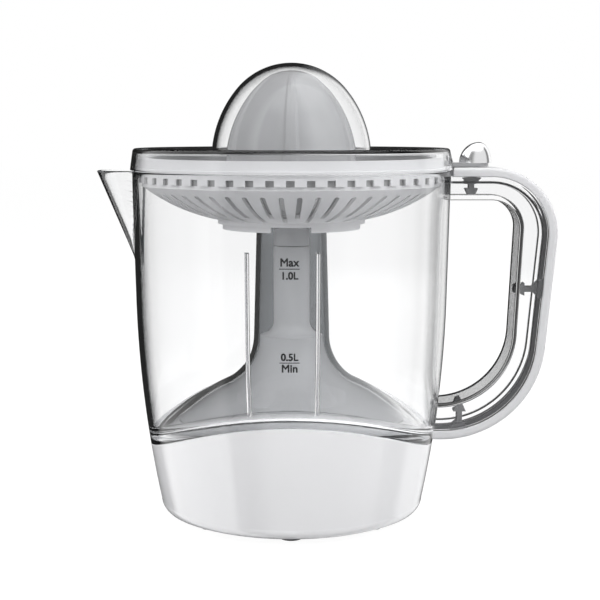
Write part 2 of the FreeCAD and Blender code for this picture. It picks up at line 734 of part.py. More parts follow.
def make_bottom_plate():
    body = new_body("bottom_plate")
    edge = S.shell_overlap
    profile = [
        (0, S.foot_height),
        (PLATE_RADIUS - edge, S.foot_height, edge),
        (PLATE_RADIUS, S.foot_height + edge),
        (PLATE_RADIUS, PLATE_TOP),
        (0, PLATE_TOP),
    ]
    spin(body, "Revolution", outline(body, "disc", "XZ", profile))
    post = circles(body, "post", "XY", [(S.column_circle, 0, S.post_radius)], PLATE_TOP, COLUMN_TURN)
    around(body, extrude(body, "Pad", post, S.motor_top - PLATE_TOP), post, GEARBOX_SCREWS)
    bore = S.screw_radius + S.screw_room
    hole = circles(body, "plate_hole", "XY", [(S.post_circle, 0, bore)], S.foot_height, POST_TURN)
    around(body, extrude(body, "Pocket", hole, S.plate_thick, flip=True), hole, BOSSES)
    hole = circles(body, "post_hole", "XY", [(S.column_circle, 0, bore)], S.motor_top, COLUMN_TURN)
    around(body, extrude(body, "Pocket", hole, S.gearbox_bite + S.screw_room), hole, GEARBOX_SCREWS)
    return body


def make_feet():
    feet = []
    for number, (across, along) in enumerate(((0, -1), (1, 0), (0, 1), (-1, 0)), start=1):
        foot = doc.addObject("Part::Cylinder", f"foot_{number}")
        bind(foot, "Radius", S.foot_radius)
        bind(foot, "Height", S.foot_height)
        bind(foot, "Placement.Base.x", S.foot_circle * across)
        bind(foot, "Placement.Base.y", S.foot_circle * along)
        feet.append(foot)
    return group("rubber_feet", feet)


def make_cable_gland():
    body = new_body("cable_gland")
    bind(body, "Placement.Base.z", S.gland_height)
    outside = wall_radius(S.gland_height + S.gland_flange) + S.running_gap
    inside = wall_radius(S.gland_height - S.gland_flange, S.base_wall) - S.gland_flange_thick
    neck = S.gland_radius - S.running_gap
    profile = [
        (inside - S.gland_flange_thick, S.gland_bore),
        (outside + S.gland_flange_thick, S.gland_bore),
        (outside + S.gland_flange_thick, S.gland_flange),
        (outside, S.gland_flange),
        (outside, neck),
        (inside, neck),
        (inside, S.gland_flange),
        (inside - S.gland_flange_thick, S.gland_flange),
    ]
    spin(body, "Revolution", outline(body, "profile", "YZ", profile), axis="H_Axis")
    return body


# Motor and gear train


def make_motor():
    can = new_body("motor_can")
    radius = S.motor_radius
    floor = PLATE_TOP + S.motor_wall
    profile = [
        (0, PLATE_TOP),
        (radius, PLATE_TOP),
        (radius, S.motor_top),
        (radius - S.motor_wall, S.motor_top),
        (radius - S.motor_wall, floor),
        (0, floor),
    ]
    spin(can, "Revolution", outline(can, "cup", "XZ", profile))

    bobbin = new_body("coil_bobbin")
    wall = S.bobbin_wall
    profile = [
        (S.bobbin_inner, floor),
        (S.bobbin_outer, floor),
        (S.bobbin_outer, floor + wall),
        (S.bobbin_inner + wall, floor + wall),
        (S.bobbin_inner + wall, S.motor_top - wall),
        (S.bobbin_outer, S.motor_top - wall),
        (S.bobbin_outer, S.motor_top),
        (S.bobbin_inner, S.motor_top),
    ]
    spin(bobbin, "Revolution", outline(bobbin, "spool", "XZ", profile))
    ring("coil_winding", S.bobbin_inner + wall, S.bobbin_outer - wall, floor + wall, S.motor_top - wall)

    plate = new_body("gear_plate")
    hole = S.bush_radius
    disc = circles(plate, "disc", "XY", [(0, 0, S.gear_plate_radius), (0, 0, hole)], S.motor_top)
    extrude(plate, "Pad", disc, S.gear_plate_thick)
    bore = S.screw_radius + S.screw_room
    screw = circles(plate, "screw_hole", "XY", [(S.column_circle, 0, bore)], S.motor_top, COLUMN_TURN)
    cut = extrude(plate, "Pocket", screw, S.gear_plate_thick, flip=True)
    around(plate, cut, screw, GEARBOX_SCREWS)
    stud_hole = circles(plate, "stud_hole", "XY", [(0, GEAR_DISTANCE, S.axle_radius)], S.motor_top)
    extrude(plate, "Pocket", stud_hole, S.gear_plate_thick, flip=True)

    bushes = new_body("rotor_bushes")
    for name, low in (("lower", floor), ("upper", GEAR_PLATE_TOP - S.bush_height)):
        section = rectangle(S.axle_radius + S.running_gap, S.bush_radius, low, low + S.bush_height)
        spin(bushes, "Revolution", outline(bushes, name, "XZ", section))

    stud = new_body("idler_stud")
    extrude(
        stud, "Pad", circles(stud, "round", "XY", [(0, GEAR_DISTANCE, S.axle_radius)], S.motor_top),
        S.cover_top - S.cover_wall - S.motor_top - S.running_gap,
    )


def make_rotor():
    ring("rotor_magnet", S.axle_radius, S.magnet_radius, S.magnet_base, S.magnet_base + S.magnet_height)
    shaft = new_body("rotor_shaft")
    low = PLATE_TOP + S.motor_wall + S.running_gap
    extrude(shaft, "Pad", circles(shaft, "round", "XY", [(0, 0, S.axle_radius)], low), ROTOR_TOP - low)
    pinion = new_body("rotor_pinion")
    gear(pinion, "pinion", S.pinion_teeth, LOW_GEARS, ROTOR_TOP - LOW_GEARS, QUARTER_TURN)
    bore = circles(pinion, "bore", "XY", [(0, 0, S.axle_radius)], LOW_GEARS)
    extrude(pinion, "Pocket", bore, flip=True)


def tooth_corners(teeth):
    """One involute tooth about the X axis; its sizes follow the gear module."""
    count = int(teeth.value)
    pitch = count / 2
    base = pitch * math.cos(PRESSURE_ANGLE)
    thin = S.gear_backlash.value / S.gear_module.value / (4 * pitch)
    at_pitch = math.pi / (2 * count) - thin + math.tan(PRESSURE_ANGLE) - PRESSURE_ANGLE

    def flank(radius):
        lean = math.acos(min(base / radius, 1))
        half = at_pitch - math.tan(lean) + lean
        return Vector(radius * math.cos(half), -radius * math.sin(half), 0)

    foot, middle, tip = (flank(radius) for radius in (pitch - DEDENDUM, pitch, pitch + ADDENDUM))
    bend = S.gear_module * Part.Circle(foot, middle, tip).Radius
    inside = foot * (1 - DEDENDUM / pitch)
    places = [(point.x * S.gear_module, point.y * S.gear_module) for point in (inside, foot, tip)]
    mirrored = [(across, -up) for across, up in reversed(places)]
    return [
        places[0],
        (*places[1], bend),
        places[2],
        (*mirrored[0], bend),
        mirrored[1],
        mirrored[2],
    ]


def gear(body, name, teeth, low, width, turn):
    """A toothed wheel on the body's axis, with a tooth in the direction of turn."""
    foot_radius = S.gear_module * (teeth / 2 - DEDENDUM)
    disc = circles(body, f"{name}_disc", "XY", [(0, 0, foot_radius)], low)
    extrude(body, "Pad", disc, width)
    tooth = outline(body, f"{name}_tooth", "XY", tooth_corners(teeth), low, turn)
    around(body, extrude(body, "Pad", tooth, width), tooth, teeth)


def make_gears():
    idler = new_body("idler_gear")
    bind(idler, "Placement.Base.y", GEAR_DISTANCE)
    gap_turn = 3 * QUARTER_TURN - FULL_TURN / 2 / S.wheel_teeth
    gear(idler, "wheel", S.wheel_teeth, LOW_GEARS, S.gear_width, gap_turn)
    pinion_low = LOW_GEARS + S.gear_width
    gear(idler, "pinion", S.pinion_teeth, pinion_low, HIGH_GEARS + S.gear_width - pinion_low, 3 * QUARTER_TURN)
    bore = circles(idler, "bore", "XY", [(0, 0, S.axle_radius + S.running_gap)], LOW_GEARS)
    extrude(idler, "Pocket", bore, flip=True)

    output = new_body("output_gear")
    gear(output, "wheel", S.wheel_teeth, HIGH_GEARS, S.gear_width, QUARTER_TURN - FULL_TURN / 2 / S.wheel_teeth)
    hub = circles(output, "hub", "XY", [(0, 0, S.hub_radius)], HIGH_GEARS)
    extrude(output, "Pad", hub, S.hub_top - HIGH_GEARS)
    bore = outline(output, "bore", "XY", hexagon(S.spindle_flats + 2 * S.hex_room), HIGH_GEARS)
    extrude(output, "Pocket", bore, flip=True)


def make_gearbox_cover():
    body = new_body("gearbox_cover")
    inside = S.gear_plate_radius - S.cover_wall
    roof = S.cover_top - S.cover_wall
    profile = [
        (S.hub_radius + S.running_gap, roof),
        (inside, roof),
        (inside, GEAR_PLATE_TOP),
        (S.gear_plate_radius, GEAR_PLATE_TOP),
        (S.gear_plate_radius, S.cover_top),
        (S.hub_radius + S.running_gap, S.cover_top),
    ]
    spin(body, "Revolution", outline(body, "cup", "XZ", profile))
    column = circles(body, "column", "XY", [(S.column_circle, 0, S.post_radius)], GEAR_PLATE_TOP, COLUMN_TURN)
    around(body, extrude(body, "Pad", column, roof - GEAR_PLATE_TOP), column, GEARBOX_SCREWS)
    bore = S.screw_radius + S.screw_room
    hole = circles(body, "screw_hole", "XY", [(S.column_circle, 0, bore)], GEAR_PLATE_TOP, COLUMN_TURN)
    around(body, extrude(body, "Pocket", hole, flip=True), hole, GEARBOX_SCREWS)
    return body


# Spindle, spring and switch


def make_spindle():
    body = new_body("drive_spindle")
    lower = outline(body, "lower_hexagon", "XY", hexagon(S.spindle_flats), S.spindle_low)
    extrude(body, "Pad", lower, S.collar_low - S.spindle_low)
    middle = circles(body, "round", "XY", [(0, 0, S.spindle_radius)], S.collar_low)
    extrude(body, "Pad", middle, S.tower_top - S.collar_low)
    upper = outline(body, "upper_hexagon", "XY", hexagon(S.spindle_flats), S.tower_top)
    extrude(body, "Pad", upper, S.spindle_top - S.tower_top)
    ring("spring_collar", S.spindle_radius, S.collar_radius, S.collar_low, S.collar_low + S.collar_thick)
    ring("tower_bush", S.spindle_radius + S.running_gap, S.tower_bore, S.bush_low, S.tower_top - S.seal_height)
    ring("shaft_seal", S.spindle_radius + S.running_gap, S.tower_bore, S.tower_top - S.seal_height, S.tower_top)


def make_return_spring():
    """A coil between the output gear's hub and the collar."""
    low = S.hub_top + S.spring_wire + S.running_gap
    coil = doc.addObject("Part::Helix", "spring_coil")
    bind(coil, "Pitch", S.spring_pitch)
    bind(coil, "Height", S.collar_low - S.spring_wire - S.running_gap - low)
    bind(coil, "Radius", S.spring_radius)
    bind(coil, "Placement.Base.z", low)
    wire = doc.addObject("Part::Circle", "spring_wire_section")
    wire.Placement = Placement(Vector(0, 0, 0), Rotation(Vector(1, 0, 0), QUARTER_TURN))
    bind(wire, "Radius", S.spring_wire)
    bind(wire, "Placement.Base.x", S.spring_radius)
    bind(wire, "Placement.Base.z", low)
    spring = doc.addObject("Part::Sweep", "return_spring")
    spring.Label = "return_spring"
    spring.Sections = [wire]
    spring.Spine = coil
    spring.Solid = True
    spring.Frenet = True
    SUB_PARTS.append(spring)
    doc.recompute()


def make_switch():
    near = -(S.hub_radius + S.switch_gap)
    far = near - S.switch_depth
    middle = (near + far) / 2
    half = S.switch_length / 2
    body = new_body("switch_body")
    block = outline(body, "block", "XY", rectangle(-half, half, far, near), S.cover_top)
    extrude(body, "Pad", block, S.switch_height)
    top = S.cover_top + S.switch_height
    well = circles(body, "well", "XY", [(0, middle, S.plunger_radius + S.plunger_room)], top)
    extrude(body, "Pocket", well, 2 * S.press_travel)
    plunger = new_body("switch_plunger")
    low = top - S.press_travel + S.running_gap
    pin = circles(plunger, "pin", "XY", [(0, middle, S.plunger_radius)], low)
    extrude(plunger, "Pad", pin, S.collar_low - S.running_gap - low)


# Jug with its handle


def ribs(body):
    """Two slim upright ribs that follow the inside of the jug's front wall."""
    share = (S.rib_top - S.wall_mid_height) / (S.rim_height - S.wall_mid_height)
    top = S.wall_mid_radius + share * (S.rim_radius - S.wall_mid_radius)
    hidden = S.jug_wall / 2
    proud = S.jug_wall + S.rib_depth
    profile = [
        *wall_points(hidden)[:2],
        (top - hidden, S.rib_top),
        (top - proud, S.rib_top),
        *backwards(wall_points(proud)[:2]),
    ]
    for name, turn in (("rib_one", S.rib_left), ("rib_two", S.rib_right)):
        spin(body, "Revolution", outline(body, name, "XZ", profile, 0, turn), sweep=S.rib_half, back=S.rib_half)


def make_jug():
    body = new_body("jug")
    arched_slab(body, "floor", S.seam_gap, S.seam_gap + S.jug_floor)
    trim_to_wall(body, "floor_edge", S.jug_wall)
    inner_wall = wall_points(S.jug_wall)
    bell = bell_points(as_size(0), S.bell_edge)
    bell_inside = bell_points(S.bell_wall, S.bell_edge - S.bell_wall)
    shell = [
        (S.tube_top_radius, S.tube_top),
        *bell,
        *backwards(bell_inside),
        (S.tube_top_radius - S.bell_wall, S.tube_top),
    ]
    spin(body, "Revolution", outline(body, "bell", "XZ", shell))
    spin(body, "Revolution", outline(body, "wall", "XZ", wall_points(0) + backwards(inner_wall)))

    low_round = S.spout_round / 6
    low_across = -(S.wall_mid_radius - low_round)
    top_across = -(S.spout_reach - S.spout_round)
    outside = [
        circles(body, "spout_low", "XY", [(low_across, 0, low_round)], S.spout_low),
        circles(body, "spout_rim", "XY", [(top_across, 0, S.spout_round)], S.rim_height),
    ]
    loft(body, "AdditiveLoft", outside)
    middle, rim = inner_wall[1], inner_wall[2]
    above = S.rim_height + MARGIN
    clear = [(S.tube_foot_radius + S.bell_flare, middle[1]), middle, rim, (rim[0], above),
             (S.tube_foot_radius + S.bell_flare, above)]
    spin(body, "Groove", outline(body, "inside", "XZ", clear))
    inside = [
        circles(body, "spout_floor", "XY", [(low_across, 0, low_round / 2)], S.spout_low + S.spout_wall),
        circles(body, "spout_mouth", "XY", [(top_across, 0, S.spout_round - S.spout_wall)], S.rim_height),
    ]
    loft(body, "SubtractiveLoft", inside)
    ribs(body)
    hollow = [*bell_inside, (0, bell_inside[2][1]), (0, bell_inside[0][1])]
    spin(body, "Groove", outline(body, "tower_space", "XZ", hollow))
    low = S.foot_height
    below = seam_arc(S.seam_gap, S.rim_radius, "right") + [(S.rim_radius, low), (-S.rim_radius, low)]
    extrude(body, "Pocket", outline(body, "below_seam", "XZ", below), side="Symmetric")
    return body


def tangent_points(upper, upper_bend, lower, lower_bend):
    """Where one straight line touches the outer sides of two circles, the upper one first."""
    run = lower[0] - upper[0]
    rise = lower[1] - upper[1]
    span = root(run * run + rise * rise)
    lean = (upper_bend - lower_bend) / span
    square = root(1 - lean * lean)
    across = (lean * run - square * rise) / span
    up = (lean * rise + square * run) / span
    return [
        (upper[0] + upper_bend * across, upper[1] + upper_bend * up),
        (lower[0] + lower_bend * across, lower[1] + lower_bend * up),
    ]


def handle_curve(kind, inset):
    """One long edge of the handle from the jug's rim down to its foot, set in towards the fingers."""
    if kind == "grip":
        upper = (S.grip_upper_across, S.grip_upper_height)
        lower = (S.grip_lower_across, S.grip_lower_height)
        bends = (S.grip_upper_bend - inset, S.grip_lower_bend - inset)
    else:
        upper = (S.finger_upper_across, S.finger_upper_height)
        lower = (S.finger_lower_across, S.finger_lower_height)
        bends = (S.finger_upper_bend - inset, S.finger_lower_bend - inset)
    start, end = tangent_points(upper, bends[0], lower, bends[1])
    inside = S.wall_low_radius - MARGIN
    return [
        (inside, upper[1] + bends[0]),
        (upper[0], upper[1] + bends[0], -bends[0]),
        start,
        (*end, -bends[1]),
        (lower[0], lower[1] - bends[1]),
        (inside, lower[1] - bends[1]),
    ]


def handle_outline(outer, inner):
    return outer + backwards(inner)


def cut_jug(body, upper_radius, upper_height):
    """Cut a handle piece back to the jug's wall, and to a wider radius near the rim."""
    low, middle = wall_points(-S.grip_fit)[:2]
    above = S.rim_height + MARGIN
    corners = [low, middle, (upper_radius, upper_height), (upper_radius, above), (0, above), (0, low[1])]
    spin(body, "Groove", outline(body, "jug_side", "XZ", corners))


def on_outer_bend(edge):
    """Whether an edge is part of the grip strip's outer upper bend; the rounding runs on from there."""
    bend = S.grip_upper_bend.value
    return edge.Curve.TypeId == "Part::GeomCircle" and abs(edge.Curve.Radius - bend) < S.grip_fit.value


def run_at(curve, height):
    """Where the slanted run of a handle curve is at one height."""
    start, end = curve[2], curve[3]
    return start[0] + (height - start[1]) * (end[0] - start[0]) / (end[1] - start[1])


def hook_outline(spot, way, depth):
    """A snap hook from the grip strip to the channel's web: tapered root, neck and barb."""
    shoulder = depth - S.clip_barb_depth
    stations = [
        (-S.clip_over, S.clip_root / 2),
        (as_size(0), S.clip_root / 2),
        (S.clip_root_depth, S.clip_neck / 2),
        (shoulder, S.clip_neck / 2),
        (shoulder, S.clip_barb / 2),
        (depth + S.clip_over, S.clip_tip / 2),
    ]
    sides = [(deep, half) for deep, half in stations] + [(deep, -half) for deep, half in reversed(stations)]
    return [
        (spot[0] + deep * way[0] - half * way[1], spot[1] + deep * way[1] + half * way[0]) for deep, half in sides
    ]


def make_handle():
    channel = new_body("jug_handle")
    strip_edge = handle_curve("grip", S.grip_thick + S.grip_fit)
    block = handle_outline(strip_edge, handle_curve("finger", 0))
    extrude(channel, "Pad", outline(channel, "block", "XZ", block), S.handle_width, side="Symmetric")
    opened = handle_outline(handle_curve("grip", 0), handle_curve("finger", -S.handle_wall))
    hollow = outline(channel, "hollow", "XZ", opened)
    extrude(channel, "Pocket", hollow, S.handle_width - 2 * S.handle_wall, side="Symmetric")
    cut_jug(channel, S.rim_radius + S.grip_fit, S.rim_height)

    grip = new_body("handle_grip")
    strip = handle_outline(handle_curve("grip", 0), handle_curve("grip", S.grip_thick))
    extrude(grip, "Pad", outline(grip, "strip", "XZ", strip), S.handle_width, side="Symmetric")
    round_edges(grip, S.grip_round, on_outer_bend)
    cut_jug(grip, S.lid_low_radius + S.grip_clear, S.wall_mid_height)

    core = doc.addObject("PartDesign::Body", "clip_space")
    strip_side = handle_curve("grip", S.grip_thick + S.grip_fit)
    web_side = handle_curve("finger", -S.handle_wall - S.grip_fit)
    extrude(core, "Pad", outline(core, "space", "XZ", handle_outline(strip_side, web_side)), S.clip_thick,
            side="Symmetric")
    hooks = doc.addObject("PartDesign::Body", "clip_hooks")
    low_strip, low_web = strip_side[4][1], web_side[4][1]
    middle_strip, middle_web = (run_at(curve, S.clip_middle) for curve in (strip_side, web_side))
    places = [
        ((S.clip_upper, strip_side[1][1]), DOWN, strip_side[1][1] - web_side[1][1]),
        ((middle_strip, S.clip_middle), INWARD, middle_strip - middle_web),
        ((S.clip_lower, low_strip), UP, low_web - low_strip),
    ]
    for number, (spot, way, depth) in enumerate(places, start=1):
        hook = outline(hooks, f"hook_{number}", "XZ", hook_outline(spot, way, depth))
        extrude(hooks, "Pad", hook, S.handle_width, side="Symmetric")
    clips = doc.addObject("Part::Common", "handle_clips")
    clips.Label = "handle_clips"
    clips.Base = core
    clips.Tool = hooks
    SUB_PARTS.append(clips)
    doc.recompute()


# Strainer, pulp sieve and pulp knob


def dish_arc(inset, outer, inner, turn):
    """The strainer's curved dish, set in from its outside, between two radii."""
    bend = S.dish_bend - inset
    ends = [
        (radius, S.dish_centre_height - leg(bend, radius - S.dish_centre_radius)) for radius in (outer, inner)
    ]
    if turn == "inward":
        return [(*ends[0], -bend), ends[1]]
    return [(*ends[1], bend), ends[0]]


def make_strainer():
    body = new_body("strainer")
    step = S.band_radius - S.band_wall
    inside = step - S.dish_wall
    collar_inside = S.collar_ring - S.collar_ring_wall
    bore = S.sleeve_radius + S.hub_gap
    floor_top = S.floor_low + S.floor_thick
    flange_top = S.rim_height + S.strainer_flange_thick
    inner_dish = dish_arc(S.dish_wall, inside, S.dish_inner, "outward")
    profile = [
        (S.band_radius, S.band_top),
        (S.band_radius, flange_top),
        (S.strainer_flange, flange_top),
        (S.strainer_flange, S.rim_height),
        (S.band_radius, S.rim_height),
        (S.band_radius, S.band_low),
        (step, S.band_low),
        *dish_arc(as_size(0), step, S.dish_inner, "inward"),
        (S.dish_inner, S.floor_low),
        (S.collar_ring, S.floor_low),
        (S.collar_ring, S.collar_ring_low),
        (collar_inside, S.collar_ring_low),
        (collar_inside, S.floor_low),
        (bore, S.floor_low),
        (bore, S.chimney_top),
        (bore + S.chimney_wall, S.chimney_top),
        (bore + S.chimney_wall, floor_top),
        (S.dish_inner, floor_top),
        *inner_dish,
        (inside, S.band_top),
    ]
    spin(body, "Revolution", outline(body, "profile", "XZ", profile))
    half_pitch = FULL_TURN / 2 / S.slot_count
    quarter_pitch = half_pitch / 2
    for name, inner, turn in (("long", S.slot_long, quarter_pitch), ("short", S.slot_short, -quarter_pitch)):
        slot = outline(body, name, "XY", slot_outline(inner, S.slot_outer, S.slot_width), 0, turn)
        around(body, extrude(body, "Pocket", slot, flip=True), slot, S.slot_count)
    gap = rectangle(step, S.strainer_flange, -S.tab_gap / 2, S.tab_gap / 2)
    notch = outline(body, "tab_gap", "XY", gap, S.band_low)
    around(body, extrude(body, "Pocket", notch, S.tab_height, flip=True), notch, 2 * S.slot_count)
    half = S.notch_width / 2
    mouth = outline(body, "notch", "XY", rectangle(collar_inside - half, S.collar_ring + half, -half, half),
                    S.collar_ring_low, FRONT_TURN)
    cut = extrude(body, "Pocket", mouth, S.floor_low - S.collar_ring_low, flip=True)
    around(body, cut, mouth, 2)
    side = S.tongue_half + S.tongue_room
    pass_low = S.tongue_low - S.sieve_gap
    gate = rectangle(inside - S.dish_wall, S.rim_radius, -side, side)
    extrude(body, "Pocket", outline(body, "tongue_gate", "XY", gate, pass_low), flip=True)
    return body


def make_pulp_sieve():
    body = new_body("pulp_sieve")
    outside_inset = S.dish_wall + S.sieve_gap
    inside_inset = outside_inset + S.sieve_wall
    inside = SIEVE_RADIUS - S.sieve_wall
    profile = [
        (SIEVE_RADIUS, S.sieve_top),
        *dish_arc(outside_inset, SIEVE_RADIUS, S.sieve_inner, "inward"),
        *dish_arc(inside_inset, inside, S.sieve_inner, "outward"),
        (inside, S.sieve_top),
    ]
    spin(body, "Revolution", outline(body, "profile", "XZ", profile))
    quarter_pitch = FULL_TURN / 4 / S.slot_count
    outer = S.slot_outer - S.slot_width
    slot = outline(body, "slot", "XY", slot_outline(S.slot_short, outer, S.slot_width), 0, quarter_pitch)
    around(body, extrude(body, "Pocket", slot, flip=True), slot, S.slot_count)
    half = S.tongue_half
    tongue = [
        (inside + S.sieve_wall / 2, -half),
        (S.tongue_reach - half, -half, half * ROUND_END),
        (S.tongue_reach - half, half),
        (inside + S.sieve_wall / 2, half),
    ]
    extrude(body, "Pad", outline(body, "tongue", "XY", tongue, S.tongue_low), S.tongue_thick)
    return body


def make_pulp_knob():
    """Half an egg, longer towards the jug."""
    halves = []
    for name, length, turn in (("front", S.knob_front, -QUARTER_TURN), ("back", S.knob_back, QUARTER_TURN)):
        half = doc.addObject("Part::Ellipsoid", f"knob_{name}")
        half.Angle1 = 0
        half.Angle3 = FULL_TURN / 2
        half.Placement = Placement(Vector(0, 0, 0), Rotation(Vector(0, 0, 1), turn))
        bind(half, "Radius1", S.knob_rise)
        bind(half, "Radius2", S.knob_half)
        bind(half, "Radius3", length)
        bind(half, "Placement.Base.x", S.knob_peak)
        bind(half, "Placement.Base.z", TONGUE_TOP)
        halves.append(half)
    knob = doc.addObject("Part::Fuse", "pulp_knob")
    knob.Label = "pulp_knob"
    knob.Base, knob.Tool = halves
    SUB_PARTS.append(knob)
    doc.recompute()


# Drive sleeve, reamer cone and dust cover


def make_drive_sleeve():
    body = new_body("drive_sleeve")
    seat = SLEEVE_SEAT
    tube = circles(body, "tube", "XY", [(0, 0, S.sleeve_radius)], SLEEVE_LOW)
    extrude(body, "Pad", tube, seat - SLEEVE_LOW)
    flange = circles(body, "flange", "XY", [(0, 0, S.sleeve_flange)], seat)
    extrude(body, "Pad", flange, S.sleeve_flange_thick)
    top = seat + S.sleeve_flange_thick
    head = outline(body, "head", "XY", hexagon(S.sleeve_flats), top)
    extrude(body, "Pad", head, S.sleeve_top - top)
    bore = outline(body, "bore", "XY", hexagon(S.spindle_flats + 2 * S.hex_room), SLEEVE_LOW)
    extrude(body, "Pocket", bore, flip=True)
    return body


def make_reamer_cone():
    body = new_body("reamer_cone")
    inside = S.cone_skirt - S.cone_wall / 3
    waist_inside = S.cone_waist - S.cone_wall
    roof = S.spindle_top + S.running_gap
    crown = cap_bend(S.cone_shoulder, S.cone_tip - S.cone_shoulder_height)
    profile = [
        (0, S.cone_tip),
        (0, roof),
        (S.stem_radius, roof),
        (S.stem_radius, S.cone_shoulder_height - S.cone_wall * 2.4),
        (waist_inside, S.cone_waist_height),
        (inside, S.cone_low),
        (S.cone_skirt, S.cone_low),
        (S.cone_waist, S.cone_waist_height, S.cone_bend),
        (S.cone_shoulder, S.cone_shoulder_height, crown),
    ]
    spin(body, "Revolution", outline(body, "profile", "XZ", profile))
    stem = circles(body, "stem", "XY", [(0, 0, S.stem_radius)], CONE_SOCKET_LOW)
    extrude(body, "Pad", stem, roof + S.cone_wall - CONE_SOCKET_LOW)
    socket = outline(body, "socket", "XY", hexagon(S.sleeve_flats + 2 * S.hex_room), CONE_SOCKET_LOW)
    extrude(body, "Pocket", socket, roof - CONE_SOCKET_LOW, flip=True)
    turn = FRONT_TURN + FULL_TURN / 2 / S.flute_count
    across = S.flute_path - S.flute_axis
    flute = circles(body, "flute", "XY", [(across, 0, S.flute_radius)], S.flute_height, turn)
    axis = Part.LineSegment(Vector(-S.flute_axis.value, -1, 0), Vector(-S.flute_axis.value, 1, 0))
    line = flute.addGeometry(axis, True)
    rules = Rules(flute)
    rules.add("Vertical", line)
    rules.add("DistanceX", line, 1, -1, 1, size=S.flute_axis)
    flute.addConstraint(rules.rules)
    flute.setExpression(f"Constraints[{len(flute.Constraints) - 1}]", S.flute_axis.text)
    cut = spin(body, "Groove", flute, axis="Axis0", sweep=S.flute_down, back=S.flute_up)
    around(body, cut, flute, S.flute_count)
    return body


def make_dust_cover():
    body = new_body("dust_cover")
    wall = S.lid_wall
    low = S.rim_height + S.lid_gap
    roof = S.lid_top - wall
    crown = cap_bend(S.dome_shoulder, S.dome_top - S.dome_shoulder_height)
    centre = S.dome_top - crown
    shrink = (crown - wall) / crown
    inner_shoulder = (S.dome_shoulder * shrink, centre + (S.dome_shoulder_height - centre) * shrink)
    profile = [
        (S.lid_low_radius, low),
        (S.lid_top_radius, S.lid_top),
        (S.dome_radius, S.lid_top, S.dome_bend),
        (S.dome_shoulder, S.dome_shoulder_height, crown),
        (0, S.dome_top),
        (0, S.dome_top - wall, wall - crown),
        (*inner_shoulder, wall - S.dome_bend),
        (S.dome_radius - wall, roof),
        (S.lid_top_radius - wall, roof),
        (S.lid_low_radius - wall, low),
    ]
    spin(body, "Revolution", outline(body, "profile", "XZ", profile))
    side = S.tongue_half + S.tongue_room
    height = TONGUE_TOP + S.lid_wall / 2
    gate = outline(body, "tongue_gate", "XY", rectangle(S.dome_radius, 2 * S.rim_radius, -side, side), low)
    extrude(body, "Pocket", gate, height - low, flip=True)
    return body


def build():
    make_base_shell()
    make_motor_tower()
    make_bottom_plate()
    make_feet()
    make_cable_gland()
    screws("plate_screws", S.post_circle, BOSSES, POST_TURN, S.foot_height - S.head_height,
           S.foot_height, PLATE_TOP + S.plate_bite, True)
    flange_low = S.flange_top - S.flange_thick
    screws("tower_screws", S.boss_circle, BOSSES, 0, flange_low - S.head_height,
           flange_low, S.flange_top + S.tower_bite, True)
    screws("gearbox_screws", S.column_circle, GEARBOX_SCREWS, COLUMN_TURN, S.cover_top,
           S.motor_top - S.gearbox_bite, S.cover_top, False)
    make_motor()
    make_rotor()
    make_gears()
    make_gearbox_cover()
    make_spindle()
    make_return_spring()
    make_switch()
    make_jug()
    make_handle()
    make_strainer()
    make_pulp_sieve()
    make_pulp_knob()
    make_drive_sleeve()
    make_reamer_cone()
    make_dust_cover()


def write_parts():
    """Check the whole document, then write each sub-part to its own file."""
    doc.recompute()
    for item in doc.Objects:
        if "Invalid" in item.State or "Error" in item.State:
            raise RuntimeError(f"{item.Name} failed: {item.State}")
    for part in SUB_PARTS:
        if part.Shape.isNull() or not part.Shape.isValid():
            raise RuntimeError(f"{part.Label} has no valid shape")
    os.makedirs("parts", exist_ok=True)
    for part in SUB_PARTS:
        part.Shape.exportStep(f"parts/{part.Label}.step")


build()
write_parts()
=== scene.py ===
# %% [markdown]
# # Citrus press juicer
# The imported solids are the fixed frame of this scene: every piece below is made where they are, with the feet
# on z = 0, the spout at -X, the handle at +X and the front at -Y. The scene is in metres, the formulas for the
# shapes are in millimetres. The pieces that are looked at closely get smooth surfaces worked out with numpy. The
# rest keep their solids.

# %% Load the frame
import json

import bpy
import numpy as np
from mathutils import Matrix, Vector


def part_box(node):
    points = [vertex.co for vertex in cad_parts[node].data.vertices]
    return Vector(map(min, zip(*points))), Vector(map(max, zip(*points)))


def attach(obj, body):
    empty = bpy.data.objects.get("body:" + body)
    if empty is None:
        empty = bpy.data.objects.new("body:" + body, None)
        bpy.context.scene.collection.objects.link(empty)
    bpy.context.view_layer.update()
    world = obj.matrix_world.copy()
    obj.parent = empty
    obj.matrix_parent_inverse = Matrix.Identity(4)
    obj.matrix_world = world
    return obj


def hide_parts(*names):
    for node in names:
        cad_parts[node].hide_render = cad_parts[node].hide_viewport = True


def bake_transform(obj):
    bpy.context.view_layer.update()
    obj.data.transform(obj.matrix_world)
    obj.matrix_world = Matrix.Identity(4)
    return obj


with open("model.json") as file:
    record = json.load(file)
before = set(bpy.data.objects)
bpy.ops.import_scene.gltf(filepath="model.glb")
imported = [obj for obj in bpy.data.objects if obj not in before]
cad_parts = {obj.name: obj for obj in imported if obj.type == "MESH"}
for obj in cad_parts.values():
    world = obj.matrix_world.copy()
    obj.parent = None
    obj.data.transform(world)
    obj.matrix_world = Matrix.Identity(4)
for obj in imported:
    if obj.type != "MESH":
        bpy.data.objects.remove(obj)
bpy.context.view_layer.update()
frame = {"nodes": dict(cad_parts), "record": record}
scene = bpy.context.scene
MM = 0.001

# %% [markdown]
# ## The camera
# The photograph looks at the front from a little above the rim, from quite near, so the lens is only
# moderately long. Its angle of view comes from how fast the two sides of the jug draw together.

# %% Camera
FRAME_PIXELS = 600
FOCAL_PIXELS = 1319
CAMERA_PLACE = (4 * MM, -620 * MM, 181.9 * MM)
CAMERA_PITCH_DOWN = 7.344

